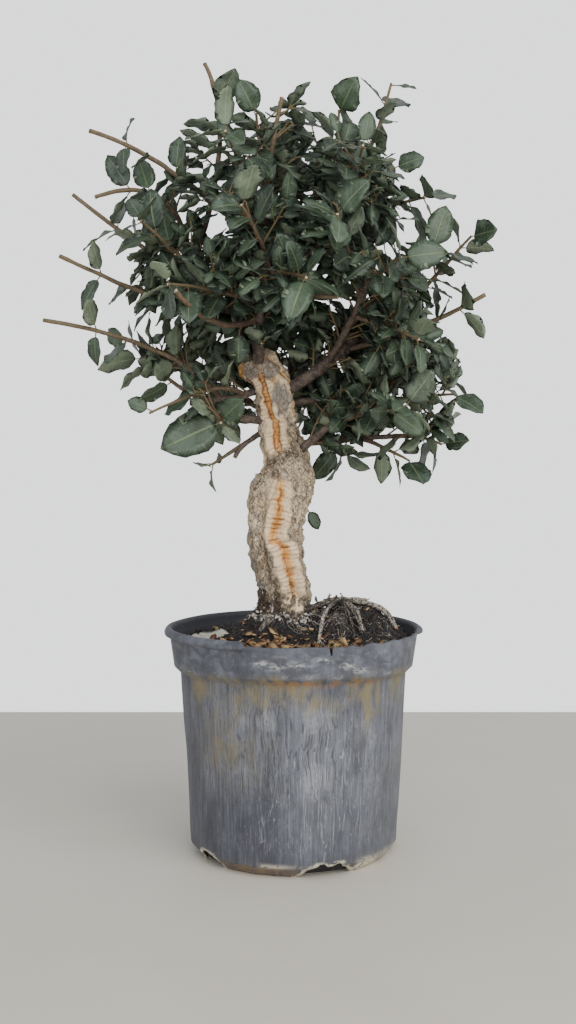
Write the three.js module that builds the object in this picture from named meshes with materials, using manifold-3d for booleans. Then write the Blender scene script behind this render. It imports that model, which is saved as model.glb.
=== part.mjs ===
// Cork oak bonsai in a round nursery pot.
// Units are millimetres. The origin is the centre of the pot's underside, +Z is up,
// +X is to the viewer's right and -Y is towards the viewer.

import * as THREE from "three";
import { mergeVertices } from "three/addons/utils/BufferGeometryUtils.js";
import Module from "manifold-3d";

const wasm = await Module();
wasm.setup();

// Pot
const POT_HEIGHT = 165;
const POT_SIDES = 28;
const WALL = 1.8;
const FOOT_RADIUS = 69;
const BODY_FOOT_RADIUS = 76;
const BODY_TOP_RADIUS = 82.7;
const COLLAR_FOOT_RADIUS = 87.7;
const COLLAR_TOP_RADIUS = 90.7;
const COLLAR_HEIGHT = 32;
const LIP_RADIUS = 95;
const LIP_HEIGHT = 6;
const STEP_Z = POT_HEIGHT - COLLAR_HEIGHT;
const FRONT_DENT = 0.05;
const COLLAR_RISE = 3.5;
const DRAIN_COUNT = 5;
const DRAIN_FIRST_DEG = -144;
const DRAIN_HEIGHT = 9;
const LOST_LIP_DEG = [-112, -3];
const CRACK_DEG = -74;

// Soil
const SOIL_GAP = 0.4;
const SOIL_EDGE_Z = 152;
const MOUNDS = [
  { x: -8, y: 0, height: 24, spread: 25 },
  { x: 48, y: 5, height: 27, spread: 19 },
  { x: -44, y: -30, height: 5, spread: 20 },
];

// Trunk: centre line, half width and half depth at each station from the root end to the cut top
const TRUNK_STATIONS = [
  { x: -8, y: 0, z: 148, wide: 18, deep: 18 },
  { x: -8, y: 0, z: 163, wide: 22, deep: 21 },
  { x: -7, y: 0, z: 178, wide: 19, deep: 19 },
  { x: -8, y: -1, z: 196, wide: 17.5, deep: 17 },
  { x: -11.5, y: -3, z: 219, wide: 18, deep: 17 },
  { x: -14, y: -4, z: 235, wide: 18.5, deep: 17 },
  { x: -11, y: -3, z: 254, wide: 21.2, deep: 18 },
  { x: -4.5, y: -1, z: 272, wide: 20, deep: 17.5 },
  { x: -5, y: 1, z: 287, wide: 16.5, deep: 15.5 },
  { x: -10, y: 2, z: 301, wide: 14.3, deep: 14 },
  { x: -12, y: 1, z: 320, wide: 13.4, deep: 13 },
  { x: -14, y: 0, z: 339, wide: 13.5, deep: 12.5 },
  { x: -22, y: 0, z: 355, wide: 11.5, deep: 11 },
  { x: -28, y: 0, z: 364, wide: 8, deep: 8 },
];
const TRUNK_SIDES = 20;
const TRUNK_RINGS = 25;

// Long splits in the cork: height range, angle at each end in degrees, depth and half width in radians
const CORK_SPLITS = [
  { z: [184, 264], deg: [-56, -100], depth: 2.6, half: 0.2 },
  { z: [298, 348], deg: [-98, -130], depth: 2.4, half: 0.22 },
  { z: [198, 276], deg: [-120, -124], depth: 2.4, half: 0.18 },
  { z: [186, 262], deg: [-18, -8], depth: 2.4, half: 0.2 },
  { z: [190, 330], deg: [48, 92], depth: 3.2, half: 0.24 },
  { z: [182, 300], deg: [142, 168], depth: 3, half: 0.22 },
];

// Bare wood that leaves the trunk: start, bend and end of each limb, with its two radii
const LIMBS = {
  knob: { path: [[-20, 0, 349], [-28, -1, 352], [-37, -2, 351]], radii: [9, 7] },
  leader: { path: [[-26, 0, 352], [-27, 3, 402], [-12, 6, 455]], radii: [4.8, 2.6] },
  left_leader: { path: [[-30, -2, 352], [-46, -4, 398], [-76, 0, 440]], radii: [4.3, 2.4] },
  front_leader: { path: [[-24, -4, 354], [-26, -38, 386], [-18, -64, 420]], radii: [3.3, 2] },
  back_leader: { path: [[-22, 4, 350], [-30, 34, 388], [-32, 64, 422]], radii: [3.5, 2.1] },
  right_up: { path: [[-22, 5, 415], [12, 3, 430], [38, -2, 472]], radii: [3.4, 2.2] },
  right_stout: { path: [[-12, 0, 334], [16, -3, 350], [39, -6, 368]], radii: [4.4, 4] },
  right_far: { path: [[30, -4, 362], [58, 14, 378], [82, 26, 396]], radii: [2.6, 1.9] },
  right_front: { path: [[24, -4, 356], [40, -36, 382], [50, -62, 408]], radii: [2.7, 1.9] },
  right_thin: { path: [[-8, 5, 328], [26, 14, 332], [54, 20, 336]], radii: [2.7, 2] },
  right_knot: { path: [[-4, -3, 286], [20, -10, 309], [48, -12, 322]], radii: [3.4, 1.9] },
  right_low: { path: [[-4, 4, 298], [36, 8, 301], [74, 4, 304]], radii: [2.6, 1.8] },
  left_high: { path: [[-16, 2, 340], [-46, 0, 330], [-66, -4, 330]], radii: [3.2, 2] },
  left_mid: { path: [[-14, -2, 316], [-42, -8, 315], [-62, -16, 322]], radii: [3.2, 2] },
  left_back: { path: [[-14, 4, 322], [-38, 26, 330], [-54, 50, 346]], radii: [3.2, 2] },
  back_low: { path: [[-12, 6, 330], [-6, 36, 346], [4, 62, 368]], radii: [3.4, 2] },
  left_hook: { path: [[-14, 0, 310], [-38, 2, 302], [-43, 0, 288]], radii: [2.4, 1.5] },
  back_shoot: { path: [[-10, 8, 236], [-4, 22, 240], [4, 25, 246]], radii: [2, 1.8] },
};
const LIMB_SIDES = 4;
const LIMB_STEPS = 3;

// Leafy branches: the limb each one grows from, where along it, its tip and its leaf count.
// bend pulls its twig into a curve, bare is how far a pruned end runs on past the last leaf,
// scale makes all its leaves smaller, and lead sets the leaf nearest the tip.
const BRANCHES = [
  {
    limb: "leader", at: 1, tip: [-27, 4, 538], leaves: 8,
    lead: { way: [0.05, 0, 1], face: [0, -1, 0.2], size: [24, 19] },
  },
  {
    limb: "leader", at: 0.85, tip: [33, 2, 540], leaves: 8,
    lead: { way: [0.1, 0, 1], face: [0, -1, 0.3], size: [26, 23] },
  },
  { limb: "leader", at: 0.75, tip: [8, 78, 512], leaves: 8 },
  { limb: "leader", at: 0.66, tip: [-8, -60, 532], bend: [-24, -42, 462], leaves: 8, bare: 30 },
  { limb: "leader", at: 0.93, tip: [-46, -66, 508], leaves: 8 },
  { limb: "left_leader", at: 1, tip: [-141, -20, 473], bend: [-88, -12, 493], leaves: 6, bare: 18 },
  { limb: "left_leader", at: 0.92, tip: [-65, 12, 576], bend: [-40, 8, 528], leaves: 8, bare: 40 },
  {
    limb: "leader", at: 0.8, tip: [-146, -10, 522], bend: [-75, -6, 491], leaves: 8, bare: 30,
    lead: { way: [-0.3, 0, -1], face: [-0.5, -1, 0], size: [25, 13] },
  },
  { limb: "left_leader", at: 0.7, tip: [-161, 6, 480], bend: [-87, 2, 421], leaves: 8, bare: 26 },
  { limb: "left_leader", at: 0.6, tip: [-104, -58, 450], leaves: 8 },
  { limb: "left_leader", at: 0.5, tip: [-98, 62, 462], leaves: 8 },
  {
    limb: "left_leader", at: 0.4, tip: [-168, -12, 433], bend: [-86, -4, 395], leaves: 8, bare: 22,
    lead: { way: [-0.6, -0.1, -0.9], face: [-0.6, -1, 0.4], size: [24, 13] },
  },
  {
    limb: "right_up", at: 1, tip: [70, -8, 556], leaves: 8,
    lead: { way: [0.8, 0, -0.1], face: [0, -0.6, 1], size: [15, 9] },
  },
  {
    limb: "right_up", at: 0.88, tip: [74, 16, 502], leaves: 8,
    lead: { way: [0.8, -0.2, 0.4], face: [0.1, -1, 0.4], size: [20, 17] },
  },
  { limb: "right_up", at: 0.74, tip: [92, -34, 470], leaves: 8 },
  { limb: "right_up", at: 0.6, tip: [46, -76, 496], leaves: 8 },
  { limb: "right_up", at: 0.46, tip: [58, 76, 490], leaves: 8 },
  {
    limb: "right_far", at: 1, tip: [130, 4, 450], leaves: 8,
    lead: { way: [0.75, 0.1, 0.75], face: [0.2, -1, 0.1], size: [23, 20] },
  },
  { limb: "right_far", at: 0.8, tip: [110, 44, 424], leaves: 8 },
  { limb: "right_far", at: 0.55, tip: [84, 80, 398], leaves: 7 },
  { limb: "right_stout", at: 0.97, tip: [136, -24, 404], bend: [82, -20, 373], leaves: 8, bare: 16 },
  { limb: "right_front", at: 0.42, tip: [96, -52, 432], leaves: 8 },
  { limb: "right_front", at: 1, tip: [70, -92, 420], leaves: 8 },
  { limb: "right_front", at: 0.8, tip: [28, -102, 446], leaves: 8 },
  { limb: "right_front", at: 0.6, tip: [84, -72, 368], leaves: 8 },
  { limb: "right_thin", at: 1, tip: [110, 22, 352], leaves: 8 },
  { limb: "right_thin", at: 0.75, tip: [84, 60, 346], leaves: 7 },
  {
    limb: "right_knot", at: 1, tip: [116, -14, 334], leaves: 8,
    lead: { way: [0.9, 0, -0.5], face: [0.2, -1, 0.6], size: [26, 17] },
  },
  { limb: "right_knot", at: 0.75, tip: [78, -58, 324], leaves: 7, bare: 0 },
  {
    limb: "right_low", at: 1, tip: [110, 10, 298], leaves: 8,
    lead: { way: [0.8, -0.1, 0.3], face: [0, -1, 0.5], size: [20, 15] },
  },
  {
    limb: "right_low", at: 0.7, tip: [84, -14, 286], leaves: 5,
    lead: { way: [0.5, -0.2, -0.8], face: [0.2, -1, 0.4], size: [30, 21] },
  },
  { limb: "right_low", at: 0.45, tip: [38, 38, 292], leaves: 5 },
  { limb: "left_high", at: 1, tip: [-112, 4, 362], leaves: 8 },
  {
    limb: "left_high", at: 0.7, tip: [-176, -34, 385], bend: [-82, -16, 372], leaves: 8, bare: 26,
    lead: { way: [-0.1, 0, -1], face: [-0.6, -1, 0.1], size: [20, 12] },
  },
  {
    limb: "left_high", at: 0.36, tip: [-99, -58, 319], bend: [-48, -34, 346], leaves: 4,
    lead: { way: [-0.8, -0.2, 0.3], face: [0, -1, 0.4], size: [14, 12] },
  },
  {
    limb: "left_mid", at: 0.75, tip: [-51, -38, 313], leaves: 4,
    lead: { way: [-1, -0.2, -0.28], face: [0.1, -1, 0.3], size: [42, 32] },
  },
  { limb: "left_back", at: 1, tip: [-84, 80, 366], leaves: 7 },
  { limb: "left_back", at: 0.7, tip: [-64, 62, 322], leaves: 7 },
  { limb: "back_low", at: 1, tip: [6, 106, 396], leaves: 7 },
  { limb: "back_low", at: 0.8, tip: [50, 88, 366], leaves: 7 },
  { limb: "back_low", at: 0.55, tip: [14, 76, 322], leaves: 7 },
  { limb: "back_leader", at: 1, tip: [-30, 106, 446], leaves: 8 },
  { limb: "back_leader", at: 0.82, tip: [-84, 84, 424], leaves: 7 },
  { limb: "back_leader", at: 0.62, tip: [-26, 94, 490], leaves: 8 },
  { limb: "front_leader", at: 1, tip: [-34, -102, 452], leaves: 8 },
  { limb: "front_leader", at: 0.84, tip: [8, -98, 406], leaves: 8 },
  { limb: "front_leader", at: 0.62, tip: [-84, -80, 404], leaves: 8 },
  { limb: "left_hook", at: 0.6, tip: [-60, 2, 283], leaves: 4, scale: 0.55 },
  {
    limb: "back_shoot", at: 0.7, tip: [10, 23, 251], leaves: 2, scale: 0.6,
    lead: { way: [0.5, 0, -0.8], face: [0.3, -1, 0.2], size: [15, 10] },
  },
];
const TWIG_RADII = [1.9, 0.95];
const STUB_RADII = [2.1, 1.5];
const SEAT_HALF_LENGTH = 1.1;
const LEAVES_A_SEAT = 2;
const LEAFY_SHARE = 0.68;
const LEAF_ATTEMPTS = 24;
const MIN_OUTWARD = 0.55;
const BRANCH_SEED = 4100;
const LEAF_SEED = 7300;

// Leaves
const LEAF_LENGTH = [19, 30];
const LEAF_WIDTH_SHARE = [0.6, 0.75];
const LEAF_THICKNESS = 0.8;
const PETIOLE_LENGTH = 4;
const LEAF_GAP = 3.4;
const WOOD_GAP = 1.6;
const CROWN_CENTRE = new THREE.Vector3(-10, 0, 400);

// Surface roots: an arch from the trunk to the pot's right side, and its short legs
const ROOT_PATHS = [
  {
    path: [[-2, -8, 172], [18, -12, 181], [36, -10, 185], [56, -6, 182], [71, -2, 172], [78, 0, 150]],
    radii: [2.3, 2], sides: 6, steps: 10,
  },
  { path: [[33, -11, 185], [22, -27, 176], [17, -42, 154]], radii: [1.5, 1.1], sides: 4, steps: 4 },
  { path: [[35, -11, 186], [46, -19, 178], [50, -26, 164]], radii: [1.3, 1], sides: 4, steps: 3 },
  { path: [[-8, -14, 176], [-20, -26, 170], [-27, -40, 152]], radii: [2.4, 1.5], sides: 4, steps: 4 },
  { path: [[-14, -6, 176], [-36, -10, 168], [-46, -14, 150]], radii: [2.4, 1.5], sides: 4, steps: 4 },
  { path: [[-8, 12, 174], [-18, 34, 166], [-20, 48, 148]], radii: [2.6, 1.6], sides: 4, steps: 4 },
];
const SEAT_GAP = 0.35;

/** A repeatable stream of numbers from 0 to 1. */
function seeded(seed) {
  let state = seed >>> 0;
  return () => {
    state = (Math.imul(state, 1664525) + 1013904223) >>> 0;
    return state / 4294967296;
  };
}

function between(range, share) {
  return range[0] + (range[1] - range[0]) * share;
}

function smoothStep(low, high, value) {
  const t = Math.min(1, Math.max(0, (value - low) / (high - low)));
  return t * t * (3 - 2 * t);
}

function vector(list) {
  return new THREE.Vector3(...list);
}

/** A closed three.js geometry as a manifold-3d solid. */
function solidOf(geometry) {
  const bare = new THREE.BufferGeometry();
  bare.setAttribute("position", geometry.getAttribute("position"));
  bare.setIndex(geometry.index);
  const merged = mergeVertices(bare, 1e-4);
  return new wasm.Manifold(
    new wasm.Mesh({
      numProp: 3,
      vertProperties: merged.attributes.position.array,
      triVerts: new Uint32Array(merged.index.array),
    }),
  );
}

/** The largest body of a solid, without the scraps that a cut can leave. */
function largestBody(solid) {
  return solid.decompose().sort((a, b) => b.volume() - a.volume())[0];
}

/** A manifold-3d solid as a named three.js mesh. */
function meshOf(name, solid, material) {
  const result = solid.getMesh();
  const geometry = new THREE.BufferGeometry();
  geometry.setAttribute("position", new THREE.BufferAttribute(result.vertProperties, 3));
  geometry.setIndex(new THREE.BufferAttribute(result.triVerts, 1));
  geometry.computeVertexNormals();
  const mesh = new THREE.Mesh(geometry, material);
  mesh.name = name;
  return mesh;
}

/** Moves every vertex of a geometry by a function of its place. */
function warp(geometry, move) {
  const places = geometry.getAttribute("position");
  const point = new THREE.Vector3();
  for (let i = 0; i < places.count; i++) {
    point.fromBufferAttribute(places, i);
    move(point);
    places.setXYZ(i, point.x, point.y, point.z);
  }
  return geometry;
}

/** A turned body round the Z axis from [radius, height] pairs that start and end on the axis. */
function turned(profile, sides) {
  const points = profile.map(([radius, height]) => new THREE.Vector2(radius, height));
  return new THREE.LatheGeometry(points, sides).rotateX(Math.PI / 2);
}

// Pot

/** The dent that handling has left in the soft pot: its front is pushed in and its collar buckles up. */
function potDent(point) {
  const front = Math.max(0, -point.y) / LIP_RADIUS;
  const collar = Math.exp(-(((point.z - STEP_Z) / 14) ** 2));
  if (point.y < 0) point.y *= 1 - FRONT_DENT * (point.z / POT_HEIGHT) ** 2;
  point.z += COLLAR_RISE * collar * front * front;
}

function potProfile() {
  const lipFoot = POT_HEIGHT - LIP_HEIGHT;
  return [
    [0, 0],
    [FOOT_RADIUS, 0],
    [BODY_FOOT_RADIUS, 8],
    [BODY_TOP_RADIUS, STEP_Z - 1],
    [COLLAR_FOOT_RADIUS, STEP_Z + 4],
    [COLLAR_TOP_RADIUS, lipFoot],
    [LIP_RADIUS, lipFoot + 0.6],
    [LIP_RADIUS - 2.4, POT_HEIGHT],
    [COLLAR_TOP_RADIUS - WALL, POT_HEIGHT - 2],
    [COLLAR_FOOT_RADIUS - WALL, STEP_Z + 5.2],
    [BODY_TOP_RADIUS - WALL, STEP_Z + 0.8],
    [BODY_FOOT_RADIUS - WALL, 9],
    [FOOT_RADIUS, WALL],
    [0, WALL],
  ];
}

/** A block over part of a ring, for cutting: inner and outer radius, two angles in degrees, two heights. */
function ringSector(inner, outer, degrees, heights) {
  const [from, to] = degrees.map(THREE.MathUtils.degToRad);
  const shape = new THREE.Shape();
  shape.absarc(0, 0, outer, from, to, false);
  shape.absarc(0, 0, inner, to, from, true);
  const block = new THREE.ExtrudeGeometry(shape, {
    depth: heights[1] - heights[0],
    bevelEnabled: false,
    curveSegments: 6,
  });
  return block.translate(0, 0, heights[0]);
}

/** A ragged drain opening in the foot's corner, facing along +X before it is turned into place. */
function drainOpening(width, degrees) {
  const half = width / 2;
  const outline = new THREE.Shape([
    new THREE.Vector2(-half, -3),
    new THREE.Vector2(half, -3),
    new THREE.Vector2(half * 0.92, DRAIN_HEIGHT * 0.45),
    new THREE.Vector2(half * 0.45, DRAIN_HEIGHT * 0.8),
    new THREE.Vector2(half * 0.1, DRAIN_HEIGHT * 0.62),
    new THREE.Vector2(-half * 0.4, DRAIN_HEIGHT),
    new THREE.Vector2(-half * 0.85, DRAIN_HEIGHT * 0.5),
  ]);
  const reach = 22;
  const block = new THREE.ExtrudeGeometry(outline, { depth: reach, bevelEnabled: false });
  block.rotateX(Math.PI / 2).rotateZ(Math.PI / 2);
  block.translate(FOOT_RADIUS - 6, 0, 0);
  return block.rotateZ(THREE.MathUtils.degToRad(degrees));
}

function potSolid() {
  let pot = solidOf(turned(potProfile(), POT_SIDES));
  const lipFoot = POT_HEIGHT - LIP_HEIGHT;
  const brokenEdge = POT_HEIGHT - 3.6;
  pot = pot.subtract(
    solidOf(
      ringSector(COLLAR_TOP_RADIUS + 0.1, LIP_RADIUS + 3, LOST_LIP_DEG, [lipFoot - 1, POT_HEIGHT + 2]),
    ),
  );
  pot = pot.subtract(
    solidOf(ringSector(COLLAR_FOOT_RADIUS - 8, LIP_RADIUS + 3, LOST_LIP_DEG, [brokenEdge, POT_HEIGHT + 2])),
  );
  const crack = new THREE.BoxGeometry(14, 2.6, 13).translate(COLLAR_TOP_RADIUS, 0, POT_HEIGHT - 4);
  crack.rotateZ(THREE.MathUtils.degToRad(CRACK_DEG));
  pot = pot.subtract(solidOf(crack));
  for (let i = 0; i < DRAIN_COUNT; i++) {
    const width = i === 1 ? 38 : 24;
    pot = pot.subtract(solidOf(drainOpening(width, DRAIN_FIRST_DEG + (i * 360) / DRAIN_COUNT)));
  }
  return pot.warp((place) => {
    const point = vector(place);
    potDent(point);
    [place[0], place[1], place[2]] = point.toArray();
  });
}

// Soil

/** Height of the soil's surface over a point of the pot. */
function soilHeight(x, y) {
  const radius = Math.hypot(x, y);
  const inside = 1 - smoothStep(62, 86, radius);
  let height = SOIL_EDGE_Z + 2 * inside;
  for (const mound of MOUNDS) {
    const away = ((x - mound.x) ** 2 + (y - mound.y) ** 2) / (2 * mound.spread ** 2);
    height += mound.height * Math.exp(-away);
  }
  return height + 1.4 * inside * Math.sin(x / 7) * Math.cos(y / 6 + 1);
}

function soilGeometry() {
  const sideRings = [
    [FOOT_RADIUS - 0.3, WALL + SOIL_GAP],
    [BODY_FOOT_RADIUS - WALL - SOIL_GAP - 0.2, 9.2],
    [BODY_TOP_RADIUS - WALL - SOIL_GAP, STEP_Z + 1.1],
    [COLLAR_FOOT_RADIUS - WALL - SOIL_GAP, STEP_Z + 5.8],
  ];
  const topRadii = [86, 68, 46, 0];
  const profile = [[0, WALL + SOIL_GAP], ...sideRings, ...topRadii.map((radius) => [radius, POT_HEIGHT])];
  return warp(turned(profile, POT_SIDES), (point) => {
    if (point.z > POT_HEIGHT - 1) point.z = soilHeight(point.x, point.y);
    potDent(point);
  });
}

// Trunk and wood

/** Uniform Catmull-Rom curve through a list of control values. */
function alongCurve(points) {
  return new THREE.CatmullRomCurve3(points, false, "catmullrom", 0.5);
}

/** How far the cork stands in or out of the trunk's plain form, at an angle and a height. */
function corkRelief(angle, height) {
  let relief = 0.9 * Math.sin(5 * angle + height * 0.11);
  relief += 0.8 * Math.sin(8 * angle - height * 0.17 + 1.3);
  relief += 0.6 * Math.sin(3 * angle + height * 0.62);
  for (const split of CORK_SPLITS) {
    const share = (height - split.z[0]) / (split.z[1] - split.z[0]);
    const ends = smoothStep(-0.08, 0.1, share) * (1 - smoothStep(0.9, 1.08, share));
    const middle = THREE.MathUtils.degToRad(between(split.deg, share));
    const turn = Math.atan2(Math.sin(angle - middle), Math.cos(angle - middle)) / split.half;
    relief += ends * split.depth * (0.7 * Math.exp(-((Math.abs(turn) - 1.9) ** 2)) - Math.exp(-turn * turn));
  }
  return relief;
}

/** The trunk's tube. Swell widens it all round, for the holes that it stands in. */
function trunkGeometry(swell) {
  const centres = alongCurve(TRUNK_STATIONS.map((s) => new THREE.Vector3(s.x, s.y, s.z)));
  const sizes = alongCurve(TRUNK_STATIONS.map((s) => new THREE.Vector3(s.wide, s.deep, 0)));
  const tube = new THREE.CylinderGeometry(1, 1, 1, TRUNK_SIDES, TRUNK_RINGS);
  return warp(tube, (point) => {
    const share = THREE.MathUtils.clamp(point.y + 0.5, 0, 1);
    const rim = Math.hypot(point.x, point.z);
    const angle = Math.atan2(-point.z, point.x);
    const centre = centres.getPoint(share);
    const size = sizes.getPoint(share);
    const along = centres.getTangent(share);
    const deep = new THREE.Vector3(0, 1, 0).addScaledVector(along, -along.y).normalize();
    const wide = new THREE.Vector3().crossVectors(deep, along);
    const relief = (corkRelief(angle, centre.z) + swell) * rim;
    point.copy(centre);
    point.addScaledVector(wide, Math.cos(angle) * (size.x * rim + relief));
    point.addScaledVector(deep, Math.sin(angle) * (size.y * rim + relief));
  });
}

/** A tapered stem along a curve, with few sides. Swell widens and lengthens it. */
function stemGeometry(curve, radii, sides, steps, swell = 0) {
  const tube = new THREE.CylinderGeometry(1, 1, 1, sides, steps);
  const frames = curve.computeFrenetFrames(steps, false);
  return warp(tube, (point) => {
    const share = THREE.MathUtils.clamp(point.y + 0.5, 0, 1);
    const ring = Math.round(share * steps);
    const radius = between(radii, share) + swell;
    const centre = curve.getPoint(share);
    if (ring === 0) centre.addScaledVector(frames.tangents[0], -swell);
    if (ring === steps) centre.addScaledVector(frames.tangents[steps], swell);
    const offset = frames.normals[ring].clone().multiplyScalar(point.x * radius);
    offset.addScaledVector(frames.binormals[ring], -point.z * radius);
    point.copy(centre).add(offset);
  });
}

function bend(path) {
  const [start, middle, end] = path.map(vector);
  return new THREE.QuadraticBezierCurve3(start, middle, end);
}

/** All bare wood of the tree: the corky trunk and its limbs. */
function trunkSolid(swell) {
  const parts = [solidOf(trunkGeometry(swell))];
  for (const limb of Object.values(LIMBS)) {
    parts.push(solidOf(stemGeometry(bend(limb.path), limb.radii, LIMB_SIDES, LIMB_STEPS, swell)));
  }
  return wasm.Manifold.union(parts);
}

function rootSolid(swell) {
  const parts = ROOT_PATHS.map((root) =>
    solidOf(stemGeometry(alongCurve(root.path.map(vector)), root.radii, root.sides, root.steps, swell)),
  );
  return wasm.Manifold.union(parts);
}

// Foliage

/** Balls along a stem that leaves and other stems have to stay clear of. */
function ballsAlong(curve, radii, owner) {
  const count = Math.ceil(curve.getPoint(0).distanceTo(curve.getPoint(1)) / 2.5) + 1;
  return Array.from({ length: count }, (_, i) => {
    const share = i / (count - 1);
    return { at: curve.getPoint(share), radius: between(radii, share), owner };
  });
}

function trunkBalls() {
  const centres = alongCurve(TRUNK_STATIONS.map((s) => new THREE.Vector3(s.x, s.y, s.z)));
  const sizes = alongCurve(TRUNK_STATIONS.map((s) => new THREE.Vector3(s.wide, s.deep, 0)));
  return Array.from({ length: 80 }, (_, i) => {
    const share = i / 79;
    return { at: centres.getPoint(share), radius: sizes.getPoint(share).x + 1, owner: "trunk" };
  });
}

/** True where a new stem keeps its distance from all wood but the limb that it starts on. */
function stemIsClear(curve, radii, wood, limb) {
  const start = curve.getPoint(0);
  return ballsAlong(curve, radii, "").every((ball) => {
    const away = ball.at.distanceTo(start);
    if (away < 4) return true;
    return wood.every((other) => {
      if (away < 10 && (other.owner === limb || other.owner === "trunk")) return true;
      return ball.at.distanceTo(other.at) > ball.radius + other.radius + WOOD_GAP;
    });
  });
}

/** A random direction of unit length. */
function anyDirection(random) {
  const height = 2 * random() - 1;
  const turn = 2 * Math.PI * random();
  const flat = Math.sqrt(1 - height * height);
  return new THREE.Vector3(flat * Math.cos(turn), flat * Math.sin(turn), height);
}

/** The twig of one leafy branch, bent clear of the wood that is already there. */
function growTwig(branch, index, wood) {
  const random = seeded(BRANCH_SEED + index);
  const start = bend(LIMBS[branch.limb].path).getPoint(branch.at);
  const tip = vector(branch.tip);
  const length = start.distanceTo(tip);
  const radii = branch.bare ? STUB_RADII : TWIG_RADII;
  const across = anyDirection(random).cross(tip.clone().sub(start)).normalize();
  const leafyEnd = 1 - (branch.bare ?? 0) / length;
  for (let attempt = 0; attempt < 60; attempt++) {
    const plain = start.clone().lerp(tip, 0.5).add(new THREE.Vector3(0, 0, length * 0.05));
    const sway = length * ((branch.bend ? 0 : 0.1) + 0.006 * attempt);
    const middle = (branch.bend ? vector(branch.bend) : plain).addScaledVector(anyDirection(random), sway);
    const curve = new THREE.QuadraticBezierCurve3(start, middle, tip);
    if (!stemIsClear(curve, radii, wood, branch.limb)) continue;
    wood.push(...ballsAlong(curve, radii, index));
    return { curve, radii, across, leafyEnd };
  }
  throw new Error(`No clear way for leafy branch ${index + 1}`);
}

/** The cross-section of a three-sided twig at a share of its length. */
function sectionAt(twig, share, shift = 0) {
  const axis = twig.curve.getTangent(share);
  const centre = twig.curve.getPoint(share).addScaledVector(axis, shift);
  const u = new THREE.Vector3().crossVectors(axis, twig.across).normalize();
  const v = new THREE.Vector3().crossVectors(axis, u);
  return { centre, axis, u, v, radius: between(twig.radii, share) };
}

/** A direction across a section, counted in sixths of a turn. */
function acrossSection(section, sixths) {
  const angle = (sixths * Math.PI) / 3;
  return section.u.clone().multiplyScalar(Math.cos(angle)).addScaledVector(section.v, Math.sin(angle));
}

/** A point of a leaf's middle surface: distance along it in millimetres and across it. */
function leafPoint(leaf, along, across) {
  const share = Math.max(0, along - PETIOLE_LENGTH) / leaf.length;
  const point = leaf.foot.clone().addScaledVector(leaf.direction, along);
  point.addScaledVector(leaf.side, across);
  const wave = leaf.wave * Math.sin(7 * share) * (across / leaf.width);
  return point.addScaledVector(leaf.normal, wave - leaf.arch * leaf.length * share * share);
}

/** A leaf from its foot, its direction, the way its face looks and its length and width. */
function makeLeaf(foot, direction, face, size, random) {
  const side = new THREE.Vector3().crossVectors(direction, face).normalize();
  return {
    foot,
    direction,
    side,
    normal: new THREE.Vector3().crossVectors(side, direction).normalize(),
    length: size[0],
    width: size[1],
    arch: 0.04 + 0.24 * random(),
    wave: 3 * (random() - 0.5),
    tooth: 0.52 + 0.12 * random(),
  };
}

/** A leaf that points out and forward from its twig, with its face turned to the light. */
function drawLeaf(foot, axis, outward, forward, scale, random) {
  const direction = axis.clone().multiplyScalar(forward * (0.6 + 0.7 * random())).add(outward);
  direction.addScaledVector(anyDirection(random), 0.3);
  direction.z -= 0.15;
  const light = foot.clone().sub(CROWN_CENTRE).normalize();
  light.z += 0.7;
  light.addScaledVector(anyDirection(random), 0.75);
  const length = scale * between(LEAF_LENGTH, random());
  const size = [length, length * between(LEAF_WIDTH_SHARE, random())];
  return makeLeaf(foot, direction.normalize(), light, size, random);
}

/** A leaf whose direction, face and size are given, but for a slight turn that grows with each attempt. */
function drawLead(foot, outward, lead, attempt, random) {
  const way = vector(lead.way).normalize().addScaledVector(anyDirection(random), 0.03 * attempt);
  way.addScaledVector(outward, Math.max(0, 0.75 - way.dot(outward)));
  return makeLeaf(foot, way.normalize(), vector(lead.face), lead.size, random);
}

/** The face of a section that looks most nearly the given way. */
function faceTowards(section, way) {
  const towards = (face) => acrossSection(section, 2 * face + 1).dot(way);
  return [0, 1, 2].sort((a, b) => towards(b) - towards(a))[0];
}

/** Points over a leaf that stand for it when distances are tested. */
function leafSamples(leaf) {
  const samples = [];
  for (let i = 0; i < 9; i++) {
    const share = 0.05 + (0.94 * i) / 8;
    const half = 0.5 * leaf.width * Math.min(0.32 + 3 * share, 0.55 + 0.8 * share, 2.4 * (1 - share));
    for (let j = -3; j <= 3; j++) {
      samples.push(leafPoint(leaf, PETIOLE_LENGTH + share * leaf.length, (half * j) / 3));
    }
  }
  return samples;
}

/** The leaf with its samples where it keeps its distance from other leaves and wood, or else null. */
function leafIfClear(leaf, leaves, wood) {
  const samples = leafSamples(leaf);
  const centre = leafPoint(leaf, PETIOLE_LENGTH + leaf.length / 2, 0);
  const reach = leaf.length * 0.65;
  for (const ball of wood) {
    if (ball.at.distanceTo(centre) > reach + ball.radius + WOOD_GAP) continue;
    if (samples.some((point) => point.distanceTo(ball.at) < ball.radius + WOOD_GAP)) return null;
  }
  for (const other of leaves) {
    if (other.centre.distanceTo(centre) > reach + other.reach + LEAF_GAP) continue;
    for (const point of samples) {
      if (other.samples.some((place) => place.distanceTo(point) < LEAF_GAP)) return null;
    }
  }
  return { ...leaf, samples, centre, reach };
}

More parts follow.
